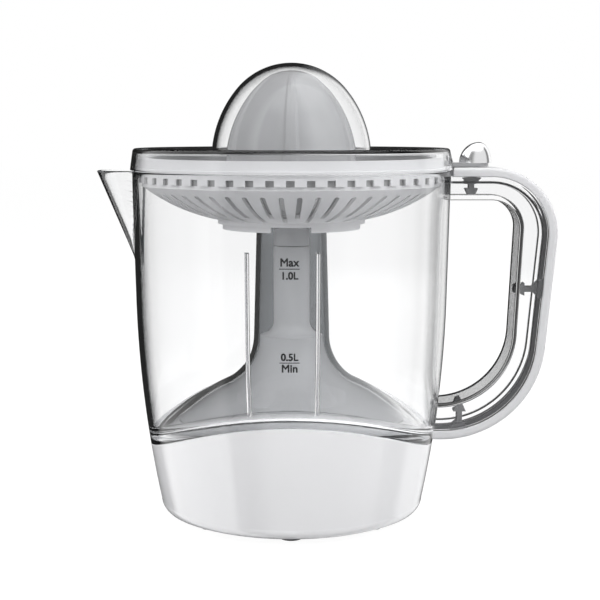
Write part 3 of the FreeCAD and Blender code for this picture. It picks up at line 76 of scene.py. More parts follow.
camera_data = bpy.data.cameras.new("camera")
camera_data.sensor_width = 36
camera_data.lens = camera_data.sensor_width * FOCAL_PIXELS / FRAME_PIXELS
camera_data.clip_start = 0.01
camera = bpy.data.objects.new("camera", camera_data)
camera.location = CAMERA_PLACE
camera.rotation_euler = (np.radians(90 - CAMERA_PITCH_DOWN), 0, 0)
scene.collection.objects.link(camera)
scene.camera = camera
print("lens:", round(camera_data.lens, 2))

# %% [markdown]
# ## Node helpers
# Materials and the world are node trees. A few helpers make nodes and wire them, so that the trees below read
# like formulas. Where a value is expected, each takes either the output of a node or a constant.

# %% Node helpers
def node(tree, kind, **settings):
    """A new node of a kind in a tree, with its settings."""
    made = tree.nodes.new("ShaderNode" + kind)
    for name, value in settings.items():
        setattr(made, name, value)
    return made


def feed(tree, socket, value):
    """Link an input to the output of a node, or set it to a constant."""
    if isinstance(value, bpy.types.NodeSocket):
        tree.links.new(value, socket)
    else:
        socket.default_value = value


def maths(tree, operation, *values):
    """The result of one Math node."""
    made = node(tree, "Math", operation=operation)
    for socket, value in zip(made.inputs, values):
        feed(tree, socket, value)
    return made.outputs[0]


def ramp(tree, value, limits, **settings):
    """A value that runs from zero to one between two limits."""
    made = node(tree, "MapRange", **settings)
    feed(tree, made.inputs["Value"], value)
    made.inputs["From Min"].default_value, made.inputs["From Max"].default_value = limits
    return made.outputs["Result"]


def between(tree, value, limits):
    """One where a value lies between two limits, zero elsewhere."""
    above = maths(tree, "GREATER_THAN", value, limits[0])
    return maths(tree, "MULTIPLY", above, maths(tree, "LESS_THAN", value, limits[1]))


def mixed(tree, share, first, second, blend="MIX"):
    """Two colours mixed by a share."""
    made = node(tree, "Mix", data_type="RGBA", blend_type=blend)
    for label, value in (("Factor", share), ("A", first), ("B", second)):
        feed(tree, made.inputs[label], value)
    return made.outputs["Result"]


def mixed_shader(tree, share, first, second):
    """Two shaders mixed by a share."""
    made = node(tree, "MixShader")
    for socket, value in zip(made.inputs, (share, first, second)):
        feed(tree, socket, value)
    return made.outputs[0]


def grey(brightness):
    """A colour without hue, as a node takes it."""
    return (brightness, brightness, brightness, 1)


# %% [markdown]
# ## Studio
# Clear plastic is drawn by what stands round it. Straight through a wall the eye meets the white backdrop, but
# at an edge it meets what the plastic mirrors, outside or inside its own wall. So this world has three faces:
# white for the camera and for rays that only pass through, a grey room for soft light, and for every ray that
# was mirrored on its way a ring of light panels with a dark gap behind the object and to its left. Rays that
# were mirrored inside the plastic meet a ring of their own.

# %% Light panels round the object
# Each stop is a share of a turn and a brightness. Half a turn is straight behind the object, the left is before
# it, the right after it, and both ends are on the camera's side.
PANELS = [
    (0.00, 0.80), (0.05, 0.80), (0.08, 0.25), (0.13, 0.25), (0.15, 1.60), (0.34, 1.60), (0.375, 0.02),
    (0.55, 0.02), (0.58, 1.10), (0.69, 1.10), (0.71, 0.15), (0.76, 0.15), (0.79, 0.80), (1.00, 0.80),
]
WITHIN_PLASTIC = [
    (0.00, 0.70), (0.16, 0.70), (0.20, 0.02), (0.53, 0.02), (0.57, 0.95), (0.70, 0.95), (0.73, 1.70),
    (0.88, 1.70), (0.93, 0.70), (1.00, 0.70),
]
OVERHEAD_FROM, OVERHEAD_LIGHT = (0.68, 0.88), 1.6  # rise of the ray's direction, and brightness
ROOM_COLOUR = (0.30, 0.303, 0.308, 1)
ONCE = 0.5  # a count of bounces above this means that there was at least one

scene.view_settings.view_transform = "Standard"
world = bpy.data.worlds.new("studio")
scene.world = world
world.use_nodes = True
sky = world.node_tree
sky.nodes.clear()
direction = node(sky, "SeparateXYZ")
feed(sky, direction.inputs[0], node(sky, "TexCoord").outputs["Generated"])
turn = maths(sky, "ARCTAN2", direction.outputs["X"], direction.outputs["Y"])
share_of_turn = maths(sky, "MULTIPLY_ADD", turn, 0.5 / np.pi, 0.5)


def panel_ring(stops):
    """A colour ramp read by the share of a turn, with one stop for each edge of a panel."""
    ring = node(sky, "ValToRGB")
    elements = ring.color_ramp.elements
    elements.remove(elements[-1])
    elements[0].position, elements[0].color = stops[0][0], grey(stops[0][1])
    for position, brightness in stops[1:]:
        elements.new(position).color = grey(brightness)
    feed(sky, ring.inputs["Fac"], share_of_turn)
    return ring.outputs["Color"]


def background(colour):
    """A backdrop of one colour, as a shader."""
    made = node(sky, "Background")
    feed(sky, made.inputs["Color"], colour)
    return made.outputs[0]


# %% World
sky_path = node(sky, "LightPath").outputs
overhead = ramp(sky, direction.outputs["Z"], OVERHEAD_FROM, interpolation_type="SMOOTHSTEP")
ring_outside = mixed(sky, overhead, panel_ring(PANELS), grey(OVERHEAD_LIGHT))
was_inside = maths(sky, "GREATER_THAN", sky_path["Transmission Depth"], ONCE)
mirrored_colour = mixed(sky, was_inside, ring_outside, panel_ring(WITHIN_PLASTIC))
is_soft = maths(sky, "GREATER_THAN", sky_path["Diffuse Depth"], ONCE)
seen_or_soft = mixed_shader(sky, is_soft, background(grey(1)), background(ROOM_COLOUR))
was_mirrored = maths(sky, "GREATER_THAN", sky_path["Glossy Depth"], ONCE)
any_ray = mixed_shader(sky, was_mirrored, seen_or_soft, background(mirrored_colour))
feed(sky, node(sky, "OutputWorld").inputs["Surface"], any_ray)


# %% Lamps
def softbox(name, place, aim, size, power):
    """A rectangular lamp at place that points at aim. It lights the pieces, but nothing shows or mirrors it."""
    data = bpy.data.lights.new(name, "AREA")
    data.shape = "RECTANGLE"
    data.size, data.size_y = size
    data.energy = power
    lamp = bpy.data.objects.new(name, data)
    lamp.visible_camera = lamp.visible_glossy = lamp.visible_transmission = False
    lamp.location = place
    away = np.subtract(place, aim)
    away = away / np.linalg.norm(away)
    lamp.rotation_euler = (np.arccos(away[2]), 0, np.arctan2(away[1], away[0]) + np.pi / 2)
    scene.collection.objects.link(lamp)


CENTRE = (0, 0, 0.11)
LAMPS = {  # place and size in metres, power in watts
    "key_lamp": ((0.8, -0.5, 0.6), (0.5, 0.6), 7.2),
    "fill_lamp": ((-0.8, -0.5, 0.5), (0.5, 0.6), 5.6),
    "back_lamp": ((0.3, 0.9, 0.5), (0.5, 0.5), 4.0),
    "top_lamp": ((0.0, -0.1, 1.0), (0.5, 0.5), 3.4),
}
for lamp_name, (lamp_place, lamp_size, lamp_power) in LAMPS.items():
    softbox(lamp_name, lamp_place, CENTRE, lamp_size, lamp_power)
print("lamps:", len(LAMPS))


# %% [markdown]
# ## Grids
# Most of the pieces are turned or swept, so each one is a grid: rows of points along one parameter and
# columns along the other. One helper makes a mesh of such a grid, whatever the formula behind it.

# %% Mesh from a grid
SMOOTH_ANGLE = np.radians(38)


def holds_volume(points, faces):
    """Six times the volume inside the faces, counted positive where they point outwards."""
    fans = np.array([(face[0], face[k], face[k + 1]) for face in faces for k in range(1, len(face) - 1)])
    first, second, third = points[fans[:, 0]], points[fans[:, 1]], points[fans[:, 2]]
    return float(np.einsum("ij,ij->", first, np.cross(second, third)))


def new_piece(name, points, faces, body, material, replaces=(), outward=True, mask=None):
    """A mesh object from arrays of points in millimetres and of faces, riding on a body if one is given.

    A mask, one number for each point, is kept as the U of a map that the material can read.
    """
    if outward and holds_volume(points, faces) < 0:
        faces = [face[::-1] for face in faces]
    mesh = bpy.data.meshes.new(name)
    mesh.from_pydata((points * MM).tolist(), [], faces)
    mesh.validate()
    mesh.polygons.foreach_set("use_smooth", np.ones(len(mesh.polygons), bool))
    mesh.set_sharp_from_angle(angle=SMOOTH_ANGLE)
    mesh.update()
    if mask is not None:
        corner_points = np.zeros(len(mesh.loops), int)
        mesh.loops.foreach_get("vertex_index", corner_points)
        places = np.stack([mask[corner_points], points[corner_points, 2] * MM], -1)
        mesh.uv_layers.new(name="mask").data.foreach_set("uv", places.ravel())
    piece = bpy.data.objects.new(name, mesh)
    scene.collection.objects.link(piece)
    piece.data.materials.append(material)
    if body:
        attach(piece, body)
    if replaces:
        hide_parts(*replaces)
    print(name, len(mesh.polygons), "faces")
    return piece


def grid_faces(rows, columns, close_rows, close_columns):
    """Four-cornered faces of a grid whose point (row, column) has the number row * columns + column."""
    row = np.arange(rows if close_rows else rows - 1)[:, None]
    column = np.arange(columns if close_columns else columns - 1)[None, :]
    next_row = (row + 1) % rows
    next_column = (column + 1) % columns
    corners = [
        row * columns + column,
        row * columns + next_column,
        next_row * columns + next_column,
        next_row * columns + column,
    ]
    return np.stack([np.broadcast_to(c, (row.size, column.size)) for c in corners], -1).reshape(-1, 4)


def close_poles(points, faces):
    """Merge points that share one place, so that a turned end closes in a fan of triangles."""
    _, first, index = np.unique(np.round(points, 5), axis=0, return_index=True, return_inverse=True)
    corners = [list(dict.fromkeys(face)) for face in index.reshape(-1)[faces].tolist()]
    return points[first], [face for face in corners if len(face) > 2]


def grid_piece(name, points, body, material, close_rows=True, cap_ends=False, replaces=(), mask=None):
    """A piece from an array of points, rows by columns by three, in millimetres. Its columns close to a ring.

    Its ends may be capped with flat faces, and then it can carry a mask. If not, they may run together in a pole.
    """
    rows, columns = points.shape[:2]
    flat = points.reshape(-1, 3)
    faces = grid_faces(rows, columns, close_rows, True)
    if cap_ends:
        last = (rows - 1) * columns
        faces = faces.tolist() + [list(range(columns))[::-1], list(range(last, last + columns))]
    else:
        flat, faces = close_poles(flat, faces)
    return new_piece(name, flat, faces, body, material, replaces, mask=mask)


# %% Profiles
def arc(start, end, bend, count=16):
    """Points from start to end, without end, on a circle of radius bend; a positive bend turns left."""
    start, end = np.array(start, float), np.array(end, float)
    chord = end - start
    length = np.hypot(*chord)
    rise = np.sqrt(max(bend * bend - length * length / 4, 0))
    side = np.array([-chord[1], chord[0]]) / length * np.copysign(rise, bend)
    centre = (start + end) / 2 + side
    first = np.arctan2(*(start - centre)[::-1])
    half = np.arcsin(min(length / 2 / abs(bend), 1))
    angles = first + np.copysign(2 * half, bend) * np.arange(count) / count
    return centre + abs(bend) * np.stack([np.cos(angles), np.sin(angles)], -1)


def rounded(corners, steps=5):
    """A closed profile from corners (across, up, rounding), each sharp corner turned into a small arc."""
    spots = np.array([corner[:2] for corner in corners], float)
    rounding = np.array([corner[2] if len(corner) > 2 else 0 for corner in corners], float)
    into = spots - np.roll(spots, 1, 0)
    out = np.roll(spots, -1, 0) - spots
    reach_in = np.minimum(rounding, np.hypot(*into.T) * 0.45)
    reach_out = np.minimum(rounding, np.hypot(*out.T) * 0.45)
    start = spots - into / np.hypot(*into.T)[:, None] * reach_in[:, None]
    end = spots + out / np.hypot(*out.T)[:, None] * reach_out[:, None]
    share = np.linspace(0, 1, steps)[None, :, None]
    rest = 1 - share
    curve = rest ** 2 * start[:, None] + 2 * share * rest * spots[:, None] + share ** 2 * end[:, None]
    return curve[(rounding[:, None] > 0) | (np.arange(steps)[None, :] == 0)]


def supported(profile, reach=0.25):
    """A closed profile with a point near both ends of each long run, so that smooth shading leaves it flat."""
    run = np.roll(profile, -1, 0) - profile
    length = np.hypot(*run.T)
    step = run * (reach / np.maximum(length, 1e-9))[:, None]
    long = length > 4 * reach
    points = np.stack([profile, profile + step, profile + run - step], 1)
    return points[np.stack([np.ones_like(long), long, long], 1)]


def turned(profile, angles):
    """The profile (across, up) turned about the Z axis: rows follow the profile, columns the angle."""
    across, up = profile.T[:, :, None]
    return np.stack(np.broadcast_arrays(across * np.cos(angles), across * np.sin(angles), up), -1)


def full_turn(count):
    """Evenly spaced angles once round the axis."""
    return np.linspace(0, 2 * np.pi, count, endpoint=False)


def ball_cap(shoulder, top, count):
    """Points up a ball's cap, from its shoulder to its top on the axis."""
    rise = top - shoulder[1]
    ball = (shoulder[0] ** 2 + rise ** 2) / (2 * rise)
    lean = np.linspace(np.arctan2(shoulder[1] - top + ball, shoulder[0]), np.pi / 2, count)
    cap = np.stack([ball * np.cos(lean), top - ball + ball * np.sin(lean)], -1)
    cap[-1, 0] = 0
    return cap


def smooth_max(first, second, blend):
    """The larger of two heights, rounded over where they come within blend of each other."""
    gap = np.maximum(blend - np.abs(first - second), 0) / blend
    return np.maximum(first, second) + gap * gap * blend / 4


# %% [markdown]
# ## Finishes
# Injection-moulded plastic is never quite even: its gloss wanders a little and its surface has a faint
# orange peel. One node group gives both, and each plastic takes its own amount of them.

# %% Moulded surface group
def new_group(name, inputs, outputs):
    """An empty node group with its sockets, and the two nodes that stand for them inside it."""
    group = bpy.data.node_groups.new(name, "ShaderNodeTree")
    for label, kind, value in inputs:
        socket = group.interface.new_socket(name=label, in_out="INPUT", socket_type=kind)
        socket.default_value = value
    for label, kind in outputs:
        group.interface.new_socket(name=label, in_out="OUTPUT", socket_type=kind)
    return group, group.nodes.new("NodeGroupInput"), group.nodes.new("NodeGroupOutput")


moulded, moulded_in, moulded_out = new_group(
    "moulded_surface",
    [
        ("Colour", "NodeSocketColor", (0.8, 0.8, 0.8, 1)),
        ("Shade", "NodeSocketFloat", 0.03),
        ("Gloss", "NodeSocketFloat", 0.25),
        ("Gloss Drift", "NodeSocketFloat", 0.08),
        ("Peel", "NodeSocketFloat", 0.1),
    ],
    [("Colour", "NodeSocketColor"), ("Roughness", "NodeSocketFloat"), ("Normal", "NodeSocketVector")],
)
moulded_place = node(moulded, "TexCoord").outputs["Object"]
DRIFT_SCALE, PEEL_SCALE, PEEL_DEPTH = 26, 700, 0.2 * MM


def noise(scale, detail):
    """Noise of one scale, fixed to the object."""
    made = node(moulded, "TexNoise")
    feed(moulded, made.inputs["Vector"], moulded_place)
    made.inputs["Scale"].default_value, made.inputs["Detail"].default_value = scale, detail
    return made.outputs["Fac"]


centred = maths(moulded, "SUBTRACT", noise(DRIFT_SCALE, 3), 0.5)
rough = maths(moulded, "MULTIPLY_ADD", centred, moulded_in.outputs["Gloss Drift"], moulded_in.outputs["Gloss"])
tone = maths(moulded, "MULTIPLY_ADD", centred, moulded_in.outputs["Shade"], 1)
bump = node(moulded, "Bump")
bump.inputs["Distance"].default_value = PEEL_DEPTH
feed(moulded, bump.inputs["Strength"], moulded_in.outputs["Peel"])
feed(moulded, bump.inputs["Height"], noise(PEEL_SCALE, 2))
feed(moulded, moulded_out.inputs["Colour"], mixed(moulded, 1, moulded_in.outputs["Colour"], tone, "MULTIPLY"))
feed(moulded, moulded_out.inputs["Roughness"], rough)
feed(moulded, moulded_out.inputs["Normal"], bump.outputs["Normal"])


# %% Plastic, metal and rubber
COAT_IOR = 1.9


def bare_material(name):
    """A new material, its node tree and its Principled shader."""
    material = bpy.data.materials.new(name)
    material.use_nodes = True
    return material, material.node_tree, material.node_tree.nodes["Principled BSDF"]


def set_constants(target, values):
    """Set inputs of a node to constants, by their labels."""
    for label, value in values.items():
        target.inputs[label].default_value = value


def moulded_material(name, colour, shade=0.03, gloss=0.25, drift=0.08, peel=0.1, metallic=0.0, shine=0.5,
                     coat=0.0):
    """An opaque material whose colour, gloss and surface come from the moulded surface group."""
    material, tree, shader = bare_material(name)
    surface = node(tree, "Group", node_tree=moulded)
    set_constants(surface, {
        "Colour": (*colour, 1), "Shade": shade, "Gloss": gloss, "Gloss Drift": drift, "Peel": peel})
    set_constants(shader, {
        "Metallic": metallic, "Specular IOR Level": shine, "Coat Weight": coat, "Coat Roughness": gloss,
        "Coat IOR": COAT_IOR})
    for label, socket in (("Colour", "Base Color"), ("Roughness", "Roughness"), ("Normal", "Normal")):
        tree.links.new(surface.outputs[label], shader.inputs[socket])
    return material


def second_colour(material, inside, share):
    """Mix another colour into a moulded material by a share."""
    tree = material.node_tree
    socket = next(item for item in tree.nodes if item.type == "GROUP").inputs["Colour"]
    feed(tree, socket, mixed(tree, share, tuple(socket.default_value), (*inside, 1)))
    return material


def painted_shade_where_masked(material, inside):
    """Paint shade on a moulded material: a second, darker colour where its piece's mask is one."""
    tree = material.node_tree
    split = node(tree, "SeparateXYZ")
    feed(tree, split.inputs[0], node(tree, "UVMap", uv_map="mask").outputs["UV"])
    return second_colour(material, inside, split.outputs["X"])


def height_and_radius(tree):
    """Height and distance from the Z axis, in metres, from the object's own coordinates."""
    split = node(tree, "SeparateXYZ")
    feed(tree, split.inputs[0], node(tree, "TexCoord").outputs["Object"])
    beside, behind = (maths(tree, "POWER", split.outputs[axis], 2.0) for axis in "XY")
    return split.outputs["Z"], maths(tree, "POWER", maths(tree, "ADD", beside, behind), 0.5)


# Painted shade on the strainer: the recess floor lies inside this radius and between these heights.
RECESS_RADIUS, RECESS_HEIGHTS = 70.4 * MM, (158.2 * MM, 161.0 * MM)


def painted_recess_shade(material, inside):
    """Paint shade on the strainer's plastic: a darker colour on the floor of the recesses in its band.

    That floor lies between two heights and nearer to the axis than a given radius.
    """
    tree = material.node_tree
    height, radius = height_and_radius(tree)
    within = maths(tree, "LESS_THAN", radius, RECESS_RADIUS)
    share = maths(tree, "MULTIPLY", within, between(tree, height, RECESS_HEIGHTS))
    return second_colour(material, inside, share)


# %% [markdown]
# Clear plastic needs more care. Lamps and softly bounced light go straight through it, so that what stands inside
# is lit. A ray that has met many walls goes straight on too, instead of being lost among them. It is dimmed at
# each wall if it was mirrored on its way or goes through the narrow tube, but not at the foot of the jug, where
# the walls run together. This dimming is painted shade: for mirrored rays it stands for light lost among the
# walls, and beside the tube for the shade of the tower inside it. A mirrored one in the cover's flat ring is
# caught between two faces and is painted nearly black there, as painted shade for the light that is lost.

# %% Clear plastic
CLEAR_IOR = 1.49
LONGEST_PATH = 3.5  # bounces of a ray
LAMP_TINT, DEEP_PAINTED_SHADE, LOST_PAINTED_SHADE = (0.97, 0.972, 0.975, 1), (0.40, 0.41, 0.42, 1), grey(0.10)
CLEAR_FROM = (19 * MM, 45 * MM)  # distances from the axis
DIMMED_ABOVE = (56 * MM, 75 * MM)  # heights
LOST_BETWEEN = (171.2 * MM, 174.2 * MM)  # heights


def clear_material(name, tint, gloss):
    """Clear plastic that shows what stands inside it."""
    material, tree, shader = bare_material(name)
    set_constants(shader, {"Base Color": (*tint, 1), "Transmission Weight": 1, "IOR": CLEAR_IOR})
    surface = node(tree, "Group", node_tree=moulded)
    set_constants(surface, {"Gloss": gloss, "Gloss Drift": gloss})
    tree.links.new(surface.outputs["Roughness"], shader.inputs["Roughness"])
    path = node(tree, "LightPath").outputs
    height, radius = height_and_radius(tree)

    soft = maths(tree, "GREATER_THAN", path["Diffuse Depth"], ONCE)
    lighting = maths(tree, "MAXIMUM", path["Is Shadow Ray"], soft)
    straight = maths(tree, "LESS_THAN", path["Glossy Depth"], ONCE)
    deep = maths(tree, "GREATER_THAN", path["Ray Depth"], LONGEST_PATH)
    # Straight rays near the axis are dimmed: painted shade that stands for the tower inside the tube.
    beside_tube = maths(tree, "MULTIPLY", straight, ramp(tree, radius, CLEAR_FROM))
    at_foot = maths(tree, "SUBTRACT", 1.0, ramp(tree, height, DIMMED_ABOVE))
    undimmed = maths(tree, "MAXIMUM", maths(tree, "MAXIMUM", lighting, beside_tube), at_foot)
    # Mirrored rays in the cover's flat ring are painted nearly black: painted shade for the light lost there.
    in_ring = between(tree, height, LOST_BETWEEN)
    caught = maths(tree, "GREATER_THAN", in_ring, maths(tree, "MAXIMUM", lighting, straight))

    through = node(tree, "BsdfTransparent")
    dimming = mixed(tree, undimmed, DEEP_PAINTED_SHADE, LAMP_TINT)
    feed(tree, through.inputs["Color"], mixed(tree, caught, dimming, LOST_PAINTED_SHADE))
    goes_straight = maths(tree, "MAXIMUM", lighting, deep)
    plastic = mixed_shader(tree, goes_straight, shader.outputs[0], through.outputs[0])
    feed(tree, tree.nodes["Material Output"].inputs["Surface"], plastic)
    return material


# %% Finish of every slot
FINISH = {
    "clear_plastic": clear_material("clear_plastic", (0.995, 0.996, 0.998), 0.02),
    "white_plastic": moulded_material(
        "white_plastic", (0.87, 0.87, 0.88), gloss=0.07, drift=0.03, peel=0.02, shine=0.9),
    # The grip's second colour is painted shade on the strip's inner side.
    "grip_plastic": painted_shade_where_masked(
        moulded_material("grip_plastic", (0.66, 0.66, 0.67), gloss=0.3), (0.07, 0.07, 0.075)),
    "grey_plastic": moulded_material("grey_plastic", (0.47, 0.475, 0.485), gloss=0.32),
    # The strainer's second colour is painted shade on the floor of its band's recesses.
    "strainer_plastic": painted_recess_shade(
        moulded_material("strainer_plastic", (0.72, 0.72, 0.73), gloss=0.34), (0.30, 0.30, 0.305)),
    "dark_plastic": moulded_material("dark_plastic", (0.03, 0.03, 0.032), gloss=0.35),
    "gear_plastic": moulded_material("gear_plastic", (0.78, 0.75, 0.67), gloss=0.4),
    "chrome": moulded_material("chrome", (0.93, 0.93, 0.94), gloss=0.2, drift=0.06, peel=0.0, metallic=1.0),
    "rubber": moulded_material("rubber", (0.16, 0.16, 0.17), gloss=0.75, peel=0.4),
    "steel": moulded_material("steel", (0.60, 0.60, 0.61), gloss=0.25, drift=0.15, metallic=1.0),
    "motor_steel": moulded_material("motor_steel", (0.55, 0.56, 0.58), gloss=0.4, drift=0.2, metallic=1.0),
    "copper": moulded_material("copper", (0.72, 0.34, 0.17), gloss=0.3, drift=0.2, peel=0.6, metallic=1.0),
    "magnet": moulded_material("magnet", (0.07, 0.07, 0.075), gloss=0.6, peel=0.3),
    "bronze": moulded_material("bronze", (0.52, 0.36, 0.18), gloss=0.4, metallic=1.0),
}
OWN_FINISH = {  # pieces that differ from their slot
    "pulp_sieve": moulded_material("sieve_plastic", (0.30, 0.302, 0.31), gloss=0.3),
    "handle_clips": moulded_material("clip_plastic", (0.16, 0.16, 0.165), gloss=0.15),
}
SLOT_OF = {part["node"]: part["material_slot"] for part in frame["record"]["subparts"]}
for node_name, piece in frame["nodes"].items():
    piece.data.materials.clear()
    piece.data.materials.append(OWN_FINISH.get(node_name, FINISH[SLOT_OF[node_name]]))
print("finishes:", len(FINISH) + len(OWN_FINISH))

# %% [markdown]
# ## The stage
# A plain floor under the feet. It is white, and it keeps the soft shadow of the object. Mirrored rays pass
# through it, so that the light panels and the dark gap reach down to the foot of the jug. For soft light it is
# grey, so that the underside of the strainer stays in the shade.

# %% Floor
FLOOR_HALF = 6.0
FLOOR_WHITE, FLOOR_SHADE = grey(0.9), (0.45, 0.45, 0.455, 1)
FLOOR_GLOW, GLOW_SHARE = 1.10, 0.86

floor_material, floor_tree, floor_shader = bare_material("floor")
floor_path = node(floor_tree, "LightPath").outputs
floor_shader.inputs["Roughness"].default_value = 0.8
is_soft = maths(floor_tree, "GREATER_THAN", floor_path["Diffuse Depth"], ONCE)
feed(floor_tree, floor_shader.inputs["Base Color"], mixed(floor_tree, is_soft, FLOOR_WHITE, FLOOR_SHADE))
glow = node(floor_tree, "Emission")
glow.inputs["Strength"].default_value = FLOOR_GLOW
is_seen = maths(floor_tree, "MAXIMUM", floor_path["Is Camera Ray"], floor_path["Is Transmission Ray"])
glow_share = maths(floor_tree, "MULTIPLY", is_seen, GLOW_SHARE)
lit_floor = mixed_shader(floor_tree, glow_share, floor_shader.outputs[0], glow.outputs[0])
was_mirrored = maths(floor_tree, "GREATER_THAN", floor_path["Glossy Depth"], ONCE)
no_floor = node(floor_tree, "BsdfTransparent").outputs[0]
floor_surface = mixed_shader(floor_tree, was_mirrored, lit_floor, no_floor)
feed(floor_tree, floor_tree.nodes["Material Output"].inputs["Surface"], floor_surface)

floor_mesh = bpy.data.meshes.new("floor")
floor_corners = [(-FLOOR_HALF, -FLOOR_HALF, 0), (FLOOR_HALF, -FLOOR_HALF, 0), (FLOOR_HALF, FLOOR_HALF, 0),
                 (-FLOOR_HALF, FLOOR_HALF, 0)]
floor_mesh.from_pydata(floor_corners, [], [(0, 1, 2, 3)])
floor_mesh.materials.append(floor_material)
piece = bpy.data.objects.new("floor", floor_mesh)
scene.collection.objects.link(piece)

# %% [markdown]
# ## The curved wall
# The outside of base and jug is one line: an arc from the base's lower edge up to mid height, then a
# straight, almost upright run to the rim. The seam between base and jug is an arch across the front.

# %% Wall and seam formulas
LOW_EDGE = (62.3, 8.5)
WALL_MIDDLE = (72.95, 102.0)
WALL_BEND = 525.0
RIM = (74.2, 163.3)
SEAM_TOP, SEAM_BEND = 55.2, 120.0


def wall_radius(height, inset=0.0):
    """Outside radius at a height: the arc below its end, the straight run above it."""
    run, rise = WALL_MIDDLE[0] - LOW_EDGE[0], WALL_MIDDLE[1] - LOW_EDGE[1]
    chord = np.hypot(run, rise)
    away = np.sqrt(WALL_BEND ** 2 - chord ** 2 / 4)
    centre_across = (LOW_EDGE[0] + WALL_MIDDLE[0]) / 2 - rise / chord * away
    centre_up = (LOW_EDGE[1] + WALL_MIDDLE[1]) / 2 + run / chord * away
    low = centre_across + np.sqrt(WALL_BEND ** 2 - (height - centre_up) ** 2)
    share = (height - WALL_MIDDLE[1]) / (RIM[1] - WALL_MIDDLE[1])
    high = WALL_MIDDLE[0] + share * (RIM[0] - WALL_MIDDLE[0])
    return np.where(height < WALL_MIDDLE[1], low, high) - inset


def seam_height(across, offset):
    """Height of the arched seam, lifted square to itself by offset, at a distance across."""
    return SEAM_TOP - SEAM_BEND + np.sqrt((SEAM_BEND + offset) ** 2 - across ** 2)


def seam_on_wall(angles, offset, inset=0.0):
    """Where the lifted seam meets the wall at each angle, found in a few steps."""
    height = np.full_like(angles, 45.0)
    for _ in range(6):
        height = seam_height(wall_radius(height, inset) * np.cos(angles), offset)
    return height


front_seam = seam_on_wall(np.array([-np.pi / 2]), 0)
print("rim radius", float(wall_radius(RIM[1])), "seam at the front", float(front_seam[0]))

# %% [markdown]
# ## Jug
# A clear jug is moulded in one piece: wall, rim, pouring spout, arched floor, and a bell in the middle that
# fits over the motor tower. All of it is one closed skin, so one grid carries it: each column is the section
# at one angle, run once round from the foot of the wall over the rim, down the inside, over the bell and
# back underneath. The spout is a circle in plan that grows towards the rim and swells the wall outwards.
# Two slim upright ribs stand proud of the inside at the front, so the columns are closer together there.

# %% Jug formulas
JUG_WALL, JUG_FLOOR, SEAM_GAP = 2.4, 3.0, 0.3
BELL_WALL = 2.2
BELL_CENTRE, BELL_DOME = -6.5, 77.0
FLARE, TUBE_FOOT = 25.0, 17.8
TUBE_TOP = (16.4, 137.4)
SPOUT_LOW, SPOUT_REACH, SPOUT_ROUND, SPOUT_WALL = 120.0, 91.0, 15.0, 2.2
SPOUT_ROOT, SPOUT_BLEND = 70.45, 1.6
ROUND_RIM, ROUND_MOUTH = 0.9, 0.9
RIBS, RIB_HALF, RIB_DEPTH, RIB_TOP = (-104.8, -80.6), 0.75, 1.3, 131.0  # the first two in degrees
RIB_TOP_SOFT, RIB_FOOT_SOFT = 0.6, 1.5


def spout_radius(angles, height, inset):
    """Radius, seen from the axis, of the spout's round section at each height; zero where there is none."""
    share = np.clip((height - SPOUT_LOW) / (RIM[1] - SPOUT_LOW), 0, 1)
    size = SPOUT_ROUND / 6 + share * (SPOUT_ROUND * 5 / 6) - inset
    middle = SPOUT_ROOT + share * (SPOUT_REACH - SPOUT_ROUND - SPOUT_ROOT)
    turn = angles - np.pi
    square = size ** 2 - (middle * np.sin(turn)) ** 2
    reach = middle * np.cos(turn) + np.sqrt(np.maximum(square, 0))
    return np.where((square > 0) & (share > 0) & (np.cos(turn) > 0), reach, 0)


def jug_radius(angles, height, inset):
    """The wall swollen by the spout, blended where the two meet."""
    spout = spout_radius(angles, height, inset * SPOUT_WALL / JUG_WALL)
    return smooth_max(wall_radius(height, inset), spout, SPOUT_BLEND)


def floor_over_seam(angles, across):
    """Height of the jug's arched floor at distances from the axis, for each angle."""
    return seam_height(across * np.cos(angles), SEAM_GAP + JUG_FLOOR)


def rib_height(angles, height, low):
    """How far the ribs stand proud: half an ellipse across each, ending softly at its top and foot."""
    away = np.min([np.abs(np.degrees(angles) - rib) for rib in RIBS], axis=0)
    section = np.sqrt(np.maximum(1 - (away / RIB_HALF) ** 2, 0))
    top_end = np.clip((RIB_TOP - height) / RIB_TOP_SOFT, 0, 1)
    foot_end = np.clip((height - low) / RIB_FOOT_SOFT, 0, 1)
    return RIB_DEPTH * section * (top_end * foot_end)


def bell_profile(inset, count):
    """The bell from its dome's edge up over the flare to the tube's top, set in by inset."""
    across = TUBE_FOOT + FLARE
    rise = np.sqrt((BELL_DOME + FLARE) ** 2 - across ** 2)
    dome = BELL_DOME - inset
    meet = (dome * across / (BELL_DOME + FLARE), BELL_CENTRE + dome * rise / (BELL_DOME + FLARE))
    foot = (TUBE_FOOT - inset, BELL_CENTRE + rise)
    flare = arc(meet, foot, -(FLARE + inset), count)
    tube = np.linspace(foot, (TUBE_TOP[0] - inset, TUBE_TOP[1] - ROUND_MOUTH), count // 2)
    return meet, np.concatenate([flare, tube])


def dome_height(across, inset):
    """Height of the bell's dome at a distance from the axis, set in by inset."""
    return BELL_CENTRE + np.sqrt(np.maximum((BELL_DOME - inset) ** 2 - across ** 2, 1.0))


# %% Jug
WALL_ROWS, RIM_ROWS, FLOOR_ROWS, BELL_ROWS = 56, 9, 30, 20
FLOOR_FILLET, FLOOR_BLEND = 3.0, 4.0

round_wall = np.linspace(-166, 160, 150, endpoint=False)
round_spout = np.linspace(160, 194, 100, endpoint=False)
near_ribs = [rib + np.linspace(-1.1, 1.1, 23) for rib in RIBS]
jug_angles = np.radians(np.unique(np.round(np.concatenate([round_wall, round_spout, *near_ribs]), 2)))
angles = jug_angles[None, :]

